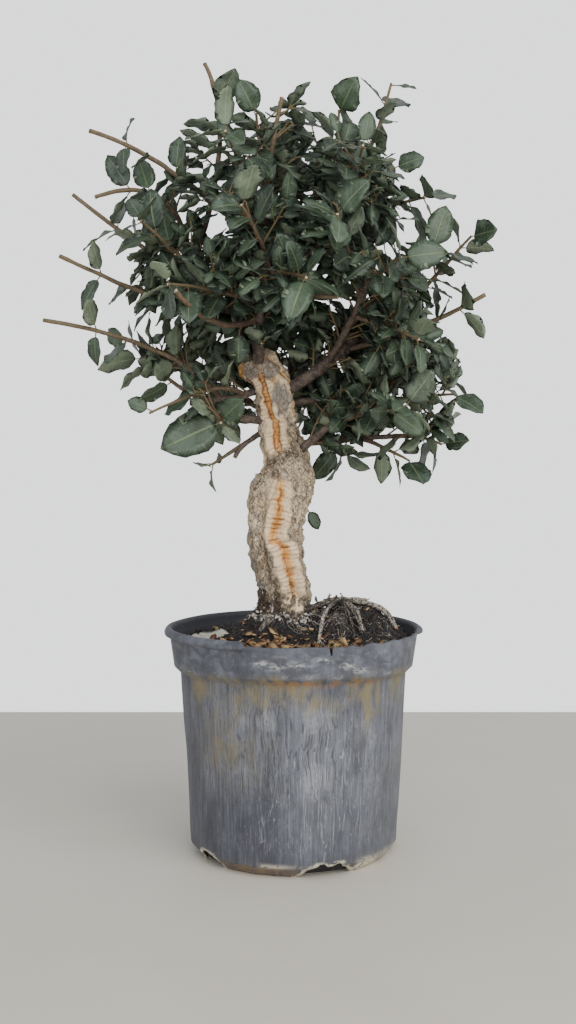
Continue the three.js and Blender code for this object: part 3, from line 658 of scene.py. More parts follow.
@dataclass(frozen=True)
class Finish:
    """A surface finish, whose material is made once and shared."""

    title: str

    def material(self) -> bpy.types.Material:
        """The finish's material.

        Returns:
            The material, new or already made.
        """
        if self.title in bpy.data.materials:
            return bpy.data.materials[self.title]
        made = bpy.data.materials.new(self.title)
        made.use_nodes = True
        self.paint(Shader(made.node_tree), made.node_tree.nodes["Principled BSDF"])
        return made

    def paint(self, shader: Shader, surface: bpy.types.Node) -> None:
        """Fills the material's tree; each finish has its own way."""
        raise NotImplementedError


@dataclass(frozen=True)
class PotPlastic(Finish):
    """Faded grey plastic with scores, scratches, haze, ochre and lime stains, torn edges and a painted highlight along
    the collar's step.
    """

    title: str = "pot plastic"
    dark: tuple = tint("393b44")
    faded: tuple = tint("676b76")
    scuff: tuple = tint("b2b5bb")
    scored: tuple = tint("2f323c")
    ochre: tuple = tint("837650")
    rust: tuple = tint("94683c")
    # also the colour of a painted highlight along the collar's step
    lime: tuple = tint("c9c9c6")
    mud: tuple = tint("7d6a50")
    torn: tuple = tint("cfc6b2")
    inside: tuple = tint("3c3e44")

    def paint(self, shader: Shader, surface: bpy.types.Node) -> None:
        """Layers: faded ground, haze, dark scores, pale scratches, ochre, lime with a painted highlight, mud and torn
        edges.

        Args:
            shader: Adds nodes to the material.
            surface: Its surface shader.
        """
        place = shader.place()
        lines = shader.group(scratches(), {"Vector": place, "Scale": 1.1}).outputs[0]
        patches = shader.group(blotches(), {"Vector": place, "Scale": 0.045, "Share": 0.5, "Softness": 0.2}).outputs[0]
        broad = shader.group(grain(), {"Vector": shader.scaled(place, (1, 1, 0.4)), "Size": 8.0})
        fine = shader.group(grain(), {"Vector": shader.scaled(place, (1, 1, 0.6)), "Size": 1.2})
        haze = shader.mark("haze")
        share = shader.line(fine.outputs["Shade"], 0.3, shader.times(broad.outputs["Shade"], 0.6))
        strokes = shader.noise(shader.scaled(place, (0.62, 0.62, 0.02)), 1.0, 4)
        bent = shader.bent(place, place, 0.05, 3.0, (30, 30, 30))
        smears = shader.noise(shader.scaled(bent, (0.05, 0.05, 0.16)), 1.0, 5)
        level = shader.node("SeparateXYZ", {0: place}).outputs[2]
        collar = shader.band(level, 132.0, 137.0)
        strokes = shader.mix_values(collar, strokes, smears)
        share = shader.times(share, shader.line(shader.band(strokes, 0.36, 0.62), 0.85, 0.4))
        # darker towards the bottom: from 84 mm down to 20 mm the ground leans to the dark colour
        share = shader.times(share, shader.line(shader.band(level, 20.0, 84.0), 0.4, 0.65))
        colour = shader.mix(shader.maths("MINIMUM", share, 1.0), self.dark, self.faded)
        milky = shader.times(haze, shader.line(patches, 0.26, 0.2))
        colour = shader.mix(milky, colour, self.scuff)
        upper = {"Vector": place, "Stretch": (0.4, 0.4, 0.012), "Width": 0.045, "Share": 0.9}
        crazed = shader.group(scores(), upper).outputs[0]
        crazed = shader.times(crazed, shader.mark("scored"))
        colour = shader.coat(colour, crazed, 0.85, self.scored)
        mirrored = shader.scaled(place, (-1, 1, 1))
        lower = {"Vector": mirrored, "Stretch": (0.46, 0.46, 0.016), "Width": 0.015, "Share": 0.6}
        scraped = shader.group(scores(), lower).outputs[0]
        rubbed = shader.maths("MAXIMUM", shader.times(lines, 0.45), shader.times(scraped, 0.65))
        rubbed = shader.times(rubbed, shader.line(shader.mark("worn"), 0.9, 0.15))
        colour = shader.mix(rubbed, colour, self.scuff)
        drips = shader.noise(shader.scaled(place, (0.13, 0.13, 0.06)), 1.0, 5, 0.6)
        crust = shader.noise(shader.scaled(place, (1, 1, 1.8)), 0.2, 5, 0.8)
        stains = (
            ("ochre", drips, 0.3, 0.72, 0.75, self.ochre),
            ("seam", drips, 0.42, 0.6, 0.7, self.rust),
            # this mark also carries a painted highlight along the collar's step
            ("lime", crust, 0.4, 0.68, 0.8, self.lime),
            ("mud", crust, 0.3, 0.55, 0.85, self.mud),
            ("torn", crust, 0.34, 0.5, 1.0, self.torn),
        )
        for name, noise, low, high, strength, top in stains:
            where = shader.times(shader.mark(name), shader.band(noise, low, high))
            colour = shader.coat(colour, where, strength, top)
        colour = shader.coat(colour, shader.mark("line"), 0.85, self.dark)
        colour = shader.mix(shader.mark("inside"), colour, self.inside)
        rough = shader.line(broad.outputs["Height"], 0.25, 0.45)
        height = shader.line(shader.maths("ADD", lines, crazed), -0.5, fine.outputs["Height"])
        shader.feed(surface, {"Base Color": colour, "Roughness": rough, "Normal": shader.bump(height, 0.3)})


@dataclass(frozen=True)
class PottingMix(Finish):
    """Near-black fibrous potting mix."""

    title: str = "potting mix"
    dark: tuple = tint("0e0c0c")
    light: tuple = tint("2a272a")
    fibre: tuple = tint("4f4540")

    def paint(self, shader: Shader, surface: bpy.types.Node) -> None:
        """Dark crumbs with brown fibres where stretched noise peaks.

        Args:
            shader: Adds nodes to the material.
            surface: Its surface shader.
        """
        place = shader.place()
        crumbs = shader.group(grain(), {"Vector": place, "Size": 1.6})
        strands = shader.noise(shader.scaled(place, (0.25, 1.6, 0.5)), 0.8, 4, 1.5)
        colour = shader.mix(crumbs.outputs["Shade"], self.dark, self.light)
        colour = shader.mix(shader.band(strands, 0.6, 0.72), colour, self.fibre)
        rough = shader.line(crumbs.outputs["Height"], 0.15, 0.82)
        normal = shader.bump(crumbs.outputs["Height"], 1.4)
        shader.feed(surface, {"Base Color": colour, "Roughness": rough, "Normal": normal})


@dataclass(frozen=True)
class CorkBark(Finish):
    """Corky bark: pale plates, dark cracks, grey skin, orange splits and pale ribs beside them."""

    title: str = "cork bark"
    pale: tuple = tint("fbebcf")
    tan: tuple = tint("dcc3a2")
    fleck: tuple = tint("7d6853")
    grey: tuple = tint("9d948c")
    crevice: tuple = tint("3a2f28")
    amber: tuple = tint("edb56f")
    rust: tuple = tint("7c4426")
    ladder: tuple = tint("f9dbb2")
    earth: tuple = tint("3b3029")
    frost: tuple = tint("d8d2c8")

    def paint(self, shader: Shader, surface: bpy.types.Node) -> None:
        """Layers: plates, skin, ribs, amber, rust, cracks, then soil and white specks at the foot, and painted shade in
        the soil colour low on the left flank.

        Args:
            shader: Adds nodes to the material.
            surface: Its surface shader.
        """
        place = shader.place()
        fine = shader.group(grain(), {"Vector": shader.scaled(place, (1, 1, 0.55)), "Size": 1.1})
        broad = shader.group(grain(), {"Vector": place, "Size": 4.5})
        share = shader.line(shader.mark("plate"), 0.55, -0.1)
        share = shader.line(broad.outputs["Shade"], 0.55, share)
        colour = shader.mix(shader.maths("MINIMUM", shader.maths("MAXIMUM", share, 0.0), 1.0), self.tan, self.pale)
        coarse = shader.group(grain(), {"Vector": shader.scaled(place, (1, 1, 0.45)), "Size": 2.4})
        flecks = shader.times(fine.outputs["Shade"], coarse.outputs["Shade"])
        rough_share = shader.line(shader.mark("ladder"), -0.45, 0.5)
        colour = shader.coat(colour, flecks, rough_share, self.fleck)
        lichen = shader.group(blotches(), {"Vector": place, "Scale": 0.12, "Share": 0.4}).outputs[0]
        colour = shader.coat(colour, lichen, 0.55, self.grey)
        colour = shader.coat(colour, shader.mark("skin"), 0.85, self.grey)
        colour = shader.coat(colour, shader.mark("ladder"), 0.75, self.ladder)
        warm = shader.times(shader.mark("amber"), shader.band(broad.outputs["Height"], 0.24, 0.5))
        colour = shader.mix(warm, colour, self.amber)
        pits = shader.band(fine.outputs["Height"], 0.47, 0.33)
        colour = shader.coat(colour, pits, 0.4, self.crevice)
        colour = shader.coat(colour, shader.mark("crevice"), 0.58, self.crevice)
        calm = shader.maths("MAXIMUM", shader.mark("ladder"), shader.times(shader.mark("skin"), 0.4))
        split = shader.group(cracks(), {"Vector": place}).outputs[0]
        split = shader.times(split, shader.line(calm, -0.82, 0.82))
        colour = shader.mix(split, colour, self.crevice)
        broken = shader.band(fine.outputs["Height"], 0.3, 0.5)
        flesh = shader.times(shader.mark("rust"), shader.line(broken, 0.4, 0.6))
        colour = shader.mix(flesh, colour, self.rust)
        # soil colour: real soil at the foot, and painted shade low on the left flank, away from the key light
        colour = shader.coat(colour, shader.mark("earth"), 0.85, self.earth)
        threads = shader.noise(shader.scaled(place, (1, 1, 0.5)), 0.42, 4, 1)
        white = shader.times(shader.mark("earth"), shader.band(threads, 0.59, 0.66))
        colour = shader.mix(white, colour, self.frost)
        height = shader.line(split, -0.7, fine.outputs["Height"])
        inputs = {"Base Color": colour, "Normal": shader.bump(height, 1.0), "Specular IOR Level": 0.2}
        inputs["Roughness"] = shader.line(fine.outputs["Height"], 0.12, 0.8)
        shader.feed(surface, inputs)


@dataclass(frozen=True)
class Bark(Finish):
    """Thin bark of a limb, twig or root, light to dark, with a green or tan young end."""

    dark: tuple = tint("4d443d")
    light: tuple = tint("8a7b6c")
    young: tuple = tint("8f8560")
    grain_size: float = 1.1
    relief: float = 0.35
    scabs: float = 0.0

    def paint(self, shader: Shader, surface: bpy.types.Node) -> None:
        """Bark with fine grain, paler pores and dark scabs, and the young colour towards the tip.

        Args:
            shader: Adds nodes to the material.
            surface: Its surface shader.
        """
        place = shader.place()
        fine = shader.group(grain(), {"Vector": place, "Size": self.grain_size})
        pores = shader.group(blotches(), {"Vector": place, "Scale": 0.6, "Share": 0.25}).outputs[0]
        colour = shader.mix(fine.outputs["Shade"], self.dark, self.light)
        colour = shader.coat(colour, shader.mark("young"), 0.8, self.young)
        colour = shader.coat(colour, pores, 0.35, tint("b0a48f"))
        scab = shader.band(shader.noise(place, 0.8, 4), 0.52, 0.42)
        colour = shader.coat(colour, scab, self.scabs, self.dark)
        rough = shader.line(fine.outputs["Height"], 0.2, 0.6)
        normal = shader.bump(shader.line(scab, -self.scabs, fine.outputs["Height"]), self.relief)
        shader.feed(surface, {"Base Color": colour, "Roughness": rough, "Normal": normal})


@dataclass(frozen=True)
class LeafFace(Finish):
    """One face of an oak leaf, with midrib, side veins, mottling and a tone for each leaf."""

    deep: tuple = tint("1d2a25")
    fresh: tuple = tint("4f634a")
    vein: tuple = tint("8c9a6e")
    bloom_and_sheen: tuple = tint("64746d")
    shine: float = 0.36
    vein_share: float = 0.42
    vein_depth: float = -0.25

    def paint(self, shader: Shader, surface: bpy.types.Node) -> None:
        """Blade colour by the leaf's tone, veins from its own UV map, and blue-grey patches: painted sheen on the upper
        face, the face's own paler tone on the underside and the dry leaf.

        Args:
            shader: Adds nodes to the material.
            surface: Its surface shader.
        """
        flat = shader.node("UVMap", {}, uv_map="blade").outputs[0]
        split = shader.node("SeparateXYZ", {0: flat})
        across = shader.maths("ABSOLUTE", shader.line(split.outputs[0], 2.0, -1.0))
        along = split.outputs[1]
        midrib = shader.band(across, 0.085, 0.02)
        climb = shader.line(along, 7.0, shader.times(across, -2.2))
        saw = shader.maths("PINGPONG", climb, 0.5)
        side = shader.times(shader.band(saw, 0.075, 0.02), shader.band(across, 1.0, 0.7))
        veins = shader.maths("MAXIMUM", midrib, shader.times(side, 0.6))
        place = shader.place()
        mottle = shader.group(grain(), {"Vector": place, "Size": 2.2})
        tone = shader.mark("tone")
        share = shader.line(mottle.outputs["Shade"], 0.25, shader.times(tone, 0.75))
        colour = shader.mix(share, self.deep, self.fresh)
        wax_and_sheen = shader.group(blotches(), {"Vector": place, "Scale": 0.1, "Share": 0.45}).outputs[0]
        # painted sheen: blue-grey patches on the upper face; on the underside and the dry leaf they are the face's own
        # paler tone
        colour = shader.coat(colour, wax_and_sheen, 0.25, self.bloom_and_sheen)
        colour = shader.coat(colour, veins, self.vein_share, self.vein)
        rough = shader.line(wax_and_sheen, 0.16, self.shine)
        height = shader.line(mottle.outputs["Height"], 0.3, veins)
        normal = shader.bump(height, self.vein_depth)
        shader.feed(surface, {"Base Color": colour, "Roughness": rough, "Normal": normal})


@dataclass(frozen=True)
class Scrap(Finish):
    """Loose or cut matter whose colour runs from one to another by each bit's tone."""

    first: tuple = tint("8a5a2c")
    second: tuple = tint("c99a55")
    grain_size: float = 0.8

    def paint(self, shader: Shader, surface: bpy.types.Node) -> None:
        """Two colours by tone, darkened by fine grain.

        Args:
            shader: Adds nodes to the material.
            surface: Its surface shader.
        """
        fine = shader.group(grain(), {"Vector": shader.place(), "Size": self.grain_size})
        colour = shader.mix(shader.mark("tone"), self.first, self.second)
        shade = shader.line(fine.outputs["Shade"], -0.45, 0.45)
        colour = shader.mix(shade, colour, tint("2a211a"))
        rough = shader.line(fine.outputs["Height"], 0.2, 0.65)
        normal = shader.bump(fine.outputs["Height"], 0.3)
        shader.feed(surface, {"Base Color": colour, "Roughness": rough, "Normal": normal})


@dataclass(frozen=True)
class PaleFloor(Finish):
    """Plain pale matt floor."""

    title: str = "pale floor"
    colour: tuple = tint("d6d1c5")

    def paint(self, shader: Shader, surface: bpy.types.Node) -> None:
        """One pale colour with a slight unevenness.

        Args:
            shader: Adds nodes to the material.
            surface: Its surface shader.
        """
        soft = shader.group(grain(), {"Vector": shader.place(), "Size": 60.0})
        colour = shader.coat(self.colour, soft.outputs["Shade"], 0.12, tint("b9b3a6"))
        shader.feed(surface, {"Base Color": colour, "Roughness": 0.55})


LIMB_BARK = Bark("limb bark", tint("352b27"), tint("6f6056"))
TWIG_BARK = Bark("twig bark", tint("342721"), tint("6e584a"), tint("776a48"), 0.75)
ROOT_BARK = Bark("root bark", tint("2b2522"), tint("5d5249"), tint("cbc3b6"), 1.0, 1.1, 0.85)
LEAF_UPPER = LeafFace("leaf upper face")
LEAF_UNDER = LeafFace("leaf underside", tint("424f43"), tint("8a987d"), tint("a5af88"), tint("95a08c"), 0.6, 0.4, 0.35)
DRY_LEAF = LeafFace("dry leaf", tint("7d7f70"), tint("b2b3a3"), tint("c2c0ae"), tint("bfbdb0"), 0.7, 0.4, 0.35)
CUT_WOOD = Scrap("cut wood", tint("c2ab84"), tint("eadcbd"), 0.5)
FLAKES = Scrap("bark flakes", tint("7a4433"), tint("e4c48f"))
CRUMBS = Scrap("soil crumbs", tint("121013"), tint("322b2a"))
THREADS = Scrap("white root threads", tint("5c544c"), tint("dcd6cc"), 0.5)
STRANDS = Scrap("dark root strands", tint("1d1918"), tint("574a40"), 0.6)
GRANULES = Scrap("lime granules", tint("b9b1a4"), tint("ece7dc"), 0.6)


# Pot


@dataclass
class NurseryPot:
    """Soft round plastic pot: thin shell with a rolled lip, stepped collar, drain openings and damage."""

    height: float = 165
    wall: float = 1.8
    step_z: float = 133
    lip_radius: float = 95
    front_dent: float = 0.05
    collar_rise: float = 3.5
    broken_edge: float = 161.4
    lost_lip: tuple = (-112, -3)
    crack: float = -74
    crack_foot: float = 154.5
    drain_first: float = -144
    drain_widths: tuple = (24, 38, 24, 24, 24)
    drain_height: float = 9
    columns: int = 400
    outer: tuple = ((2, 0), (62, 0), (69, 0), (76, 8), (76.6, 18), (82.7, 132), (87.7, 137), (90.7, 158.6))
    outer_lip: tuple = ((93.2, 158.9), (94.7, 159.8), (94.9, 161.6), (94.1, 163.4), (92.6, 164.6), (91.2, 165))
    inner_radii: tuple = (2, 62, 68.4, 74.2, 74.8, 80.9, 85.9, 88.9)
    inner_heights: tuple = (1.8, 1.8, 1.8, 9, 19, 133.8, 138.2, 158.6)
    inner_lip: tuple = ((88.95, 159.6), (89, 160.6), (89, 161.6), (89.1, 162.6), (89.4, 163.6), (90, 164.5))
    rows: tuple = (5, 6, 10, 10, 40, 5, 13)
    lime_spots: tuple = (
        (-104, 150, 3.4, 2.2),
        (-98, 147, 3, 2.6),
        (-88, 149, 4.5, 2.4),
        (-66, 147, 3.6, 3),
        (-60, 143, 5, 2),
        (-77, 152, 5, 1.6),
    )

    def dent(self, points: Array) -> Array:
        """Pushes the front in by a share that grows with height squared, and buckles the collar up there.

        Args:
            points: Places in or on the round pot.

        Returns:
            The places, moved.
        """
        moved = points.copy()
        front = np.maximum(0, -points[..., 1]) / self.lip_radius
        collar = bump_at(points[..., 2], self.step_z, 14)
        push = 1 - self.front_dent * (points[..., 2] / self.height) ** 2
        moved[..., 1] *= np.where(points[..., 1] < 0, push, 1)
        moved[..., 2] += self.collar_rise * collar * front * front
        return moved

    def profile(self, corners: Sequence[tuple], lip: Sequence[tuple]) -> Array:
        """Radius and height of each row: straight runs between the corners, then the lip's places.

        Args:
            corners: Radius and height of each corner.
            lip: The same along the lip.

        Returns:
            Rows of radius and height.
        """
        corners = np.array(corners, float)
        runs = [
            a + (b - a) * np.linspace(0, 1, count, endpoint=False)[:, None]
            for a, b, count in zip(corners[:-1], corners[1:], self.rows)
        ]
        return np.vstack([*runs, corners[-1:], np.array(lip, float)])

    def lip_share(self, degrees: Array) -> Array:
        """1 where the lip is whole and 0 where it is broken away."""
        lost = smooth_step(self.lost_lip[0] - 0.6, self.lost_lip[0] + 0.6, degrees)
        return 1 - lost * (1 - smooth_step(self.lost_lip[1] - 0.6, self.lost_lip[1] + 0.6, degrees))

    def surface(self, rows: Array, lip_start: int, degrees: Array, outside: bool) -> Array:
        """Grid of places, row by angle: the profile turned round Z, its lip let down where it is lost.

        Args:
            rows: Radius and height of each row.
            lip_start: The first row of the lip.
            degrees: Angle of each column.
            outside: Whether this is the outer face.

        Returns:
            Places shaped (rows, columns, 3).
        """
        turn = np.radians(degrees)[None, :]
        share = self.lip_share(degrees)[None, :]
        radius = np.repeat(rows[:, :1], len(degrees), axis=1)
        height = np.repeat(rows[:, 1:], len(degrees), axis=1)
        ring = np.stack([30 * np.cos(turn[0]), 30 * np.sin(turn[0]), 0 * turn[0]], -1)
        ragged = self.broken_edge + 0.9 * rough_field(ring, 2.2, 5, 2)
        count = len(rows) - lip_start
        climb = np.linspace(0.3, 1, count)[:, None]
        bare_radius = 90.8 - (0.1 if outside else 1.7) + 0 * climb
        bare_height = 158.6 + (ragged[None, :] - 158.6) * climb
        radius[lip_start:] = bare_radius + (radius[lip_start:] - bare_radius) * share
        height[lip_start:] = bare_height + (height[lip_start:] - bare_height) * share
        points = np.stack([radius * np.cos(turn), radius * np.sin(turn), height], -1)
        soft = 0.7 * rough_field(points * [1, 1, 0.6], 38, 11) + 0.25 * rough_field(points * [1, 1, 0.5], 12, 12)
        soft = soft * smooth_step(8, 40, height) + 0.5 * rough_field(points, 9, 13) * bump_at(height, 4, 8)
        return points + unit(points * [1, 1, 0]) * soft[..., None]

    def kept(self, points: Array) -> Array:
        """Whether each place of the outer face is there, and not in the crack or a drain opening.

        Args:
            points: Middles of the outer face's quads.

        Returns:
            One for each place.
        """
        degrees = np.degrees(np.arctan2(points[..., 1], points[..., 0]))
        radius, height = np.hypot(points[..., 0], points[..., 1]), points[..., 2]
        wander = 0.5 * rough_field(points * [0, 0, 1], 3, 21)
        across = np.radians(degrees - self.crack) * radius + wander + 0.15 * (height - self.broken_edge)
        there = ~((np.abs(across) < 0.6 + 0.1 * (height - self.crack_foot)) & (height > self.crack_foot))
        for i, width in enumerate(self.drain_widths):
            middle = self.drain_first + i * 360 / len(self.drain_widths)
            turn = np.radians((degrees - middle + 180) % 360 - 180)
            share = np.abs(turn * radius) / (width / 2)
            top = self.drain_height * np.clip(1.15 * (1 - share**2.5), 0, 1)
            top += 1.3 * rough_field(points, 3, 23 + i) * (share < 1.05)
            there &= ~((share < 1.05) & (height < top) & (radius > 63))
        return there

    def marks(self, points: Array, torn: Array) -> dict:
        """Where stains lie, and the painted highlight in the lime mark: each mark is 0 to 1, made of bells in angle and
        height broken up by relief.

        Args:
            points: Places before the dent.
            torn: Nearness to a torn edge, 0 to 1.

        Returns:
            The marks by name.
        """
        degrees = np.degrees(np.arctan2(points[:, 1], points[:, 0]))
        z = points[:, 2]
        uneven = rough_field(points, 16, 31, 2)
        drip = rough_field(points * [1, 1, 0.12], 9, 32, 2)
        front = between(-165, -125, -40, -5, degrees)
        under = between(114 - 16 * np.clip(drip + 0.3, 0, 1), 129, 134, 139, z)
        tear = bump_at(degrees, -51 + 0.25 * (z - 112), 4) * between(90, 108, 126, 135, z)
        side = bump_at(degrees, -22, 14) * between(106, 126, 136, 142, z)
        ochre = np.clip(under * front * (0.7 + 0.6 * uneven) + 0.8 * tear + 0.5 * side, 0, 1)
        ochre += 0.55 * between(116, 128, 136, 144, z) * (0.6 + uneven)
        ochre += 0.3 * bump_at(degrees, -128, 24) * between(40, 90, 120, 134, z)
        ochre += 0.5 * bump_at(degrees, -124, 13) * bump_at(z, 88, 17)
        ochre += 0.3 * bump_at(degrees, -30, 7) * bump_at(z, 70, 8)
        haze = bump_at(degrees, -84, 40) * smooth_step(34, 96, z + 14 * uneven) * (1 - smooth_step(114, 132, z))
        haze += 0.3 * bump_at(degrees, -70, 30) * between(4, 30, 50, 90, z)
        haze = haze * (0.85 + 0.7 * drip) + 0.35 * between(-62, -15, 60, 150, degrees) * (z < 161)
        haze = np.clip(haze, 0, 1)
        worn = bump_at(degrees, -74, 34) * between(6, 24, 84, 118, z) + 0.25 * haze
        scored = bump_at(degrees, -94, 54) * between(30, 76, 124, 136, z)
        bells = (bump_at(degrees, at, wide) * bump_at(z, level, tall) for at, level, wide, tall in self.lime_spots)
        lime = sum(bells)
        # painted highlight: a pale band in the lime colour along the top of the collar's step at 138.5 mm, with a
        # fainter pale band under the lip at 156 mm; the bells above are real lime spots
        lime += (0.35 * bump_at(z, 138.5, 1.8) + 0.2 * bump_at(z, 156, 2)) * smooth_step(-0.3, 0.3, drip)
        foot = bump_at(degrees, -112, 20) * (1 - smooth_step(5, 9, z + 2 * uneven))
        mud = np.clip(foot + 0.35 * bump_at(z, 2, 6) * (1 + uneven), 0, 1)
        rim = between(-112, -104, -90, -84, degrees) * bump_at(z, 8.5, 1.6)
        rim += between(-58, -50, -20, -8, degrees) * bump_at(z, 4, 4.5)
        torn = np.clip(0.85 * torn * (z < 25) + rim * (0.9 + uneven), 0, 1)
        line = bump_at(z, 153.5 - 1.1 * (degrees + 73), 1.2) * smooth_step(-74, -72.5, degrees)
        line = line * (1 - smooth_step(-67, -64, degrees))
        seam = bump_at(z, 133.5, 1.6) * between(-108, -90, -50, -30, degrees)
        marks = {"haze": haze, "ochre": np.clip(ochre, 0, 1), "lime": np.clip(lime, 0, 1), "mud": mud}
        marks.update({"torn": torn, "scored": scored, "seam": seam, "worn": np.clip(worn, 0, 1), "line": line})
        half = (len(points) - 2) // 2
        marks["inside"] = np.append(np.repeat([0.0, 1.0], half), [0.0, 1.0])
        return marks

    @staticmethod
    def smoothed(points: Array, edges: Array, total: int, rounds: int = 4) -> Array:
        """Edges of the openings drawn smooth: each edge point moves half way to its neighbours' middle.

        Args:
            points: Places of the outer face, then as many of the inner one.
            edges: Pairs of outer vertices along the openings.
            total: Number of vertices on each face.
            rounds: How often they are moved.

        Returns:
            The places after the moves, which are the same on both faces.
        """
        ends = np.vstack([edges, edges[:, ::-1]])
        count = np.bincount(ends[:, 0], minlength=total)[:, None]
        on_edge = count[:, 0] > 0
        moved = points[: 2 * total].reshape(2, total, 3).copy()
        for _ in range(rounds):
            for face in moved:
                sums = np.zeros((total, 3))
                np.add.at(sums, ends[:, 0], face[ends[:, 1]])
                face[on_edge] += 0.5 * (sums[on_edge] / count[on_edge] - face[on_edge])
        return np.concatenate([moved.reshape(-1, 3), points[2 * total :]])

    def build(self) -> bpy.types.Object:
        """Outer and inner faces of equal grids, joined along the top and round each opening.

        Returns:
            The pot's piece.
        """
        near_crack = np.arange(self.crack - 2.5, self.crack + 2.5, 0.2)
        degrees = np.unique(np.append(np.linspace(-270, 90, self.columns, endpoint=False), near_crack))
        columns = len(degrees)
        lip_start = sum(self.rows) + 1
        outer = self.surface(self.profile(self.outer, self.outer_lip), lip_start, degrees, True)
        corners = list(zip(self.inner_radii, self.inner_heights))
        inner = self.surface(self.profile(corners, self.inner_lip), lip_start, degrees, False)
        rows = len(outer)
        middle = (outer[:-1] + outer[1:] + np.roll(outer[:-1], -1, 1) + np.roll(outer[1:], -1, 1)) / 4
        keep = self.kept(middle).ravel()
        quads = grid_quads(rows, columns, True)
        total = rows * columns
        top = np.arange(columns) + (rows - 1) * columns
        rims = np.stack([top, np.roll(top, -1), np.roll(top, -1) + total, top + total], -1)
        rims = rims[keep[-columns:]]
        walls = self.opening_walls(quads, keep.reshape(rows - 1, columns), columns, total)
        points = np.concatenate([outer.reshape(-1, 3), inner.reshape(-1, 3), [[0, 0, 0], [0, 0, self.wall]]])
        points = self.smoothed(points, walls[:, :2], total)
        edge = np.zeros(len(points))
        edge[np.unique(walls)] = 1
        near = np.zeros(len(points))
        grid = edge[:total].reshape(rows, columns)
        spread = np.maximum.reduce([np.roll(grid, shift, 1) for shift in (-2, -1, 0, 1, 2)])
        near[:total] = np.maximum.reduce([spread, np.roll(spread, 1, 0) * 0.6]).ravel()
        near[total:-2] = near[:total]
        patch = Patch(self.dent(points), marks=self.marks(points, near))
        patch.add(quads[keep]).add(quads[keep][:, ::-1] + total).add(rims).add(walls)
        patch.add(fan(np.arange(columns), 2 * total, False)).add(fan(np.arange(columns) + total, 2 * total + 1, True))
        patch = without_spares(patch)
        return make_piece("nursery_pot", [patch], [PotPlastic()], "pot_plastic", "pot")

    @staticmethod
    def opening_walls(quads: Array, keep: Array, columns: int, total: int) -> Array:
        """Quads between the two faces along each edge where a kept quad meets a missing one.

        Args:
            quads: Outer quads of the grid.
            keep: Whether each is kept, row by column.
            columns: Number of columns.
            total: Vertices on the outer face, where the inner ones start.

        Returns:
            Wall quads.
        """
        whole = quads.reshape(*keep.shape, 4)
        below = np.vstack([np.ones((1, columns), bool), keep[:-1]])
        above = np.vstack([keep[1:], np.ones((1, columns), bool)])
        sides = [(below, 1, 0), (np.roll(keep, -1, 1), 2, 1), (above, 3, 2), (np.roll(keep, 1, 1), 0, 3)]
        walls = []
        for other, first, second in sides:
            a, b = whole[keep & ~other][:, first], whole[keep & ~other][:, second]
            walls.append(np.stack([a, b, b + total, a + total], -1))
        return np.concatenate(walls)


def without_spares(patch: Patch) -> Patch:
    """The same patch without vertices that no face uses.

    Args:
        patch: The patch.

    Returns:
        The patch with its vertices renumbered.
    """
    used = np.unique(np.concatenate([faces.ravel() for faces, _ in patch.faces]))
    number = np.zeros(len(patch.points), int)
    number[used] = np.arange(len(used))
    faces = [(number[faces], finish) for faces, finish in patch.faces]
    return Patch(patch.points[used], faces, {name: mark[used] for name, mark in patch.marks.items()})


# Soil


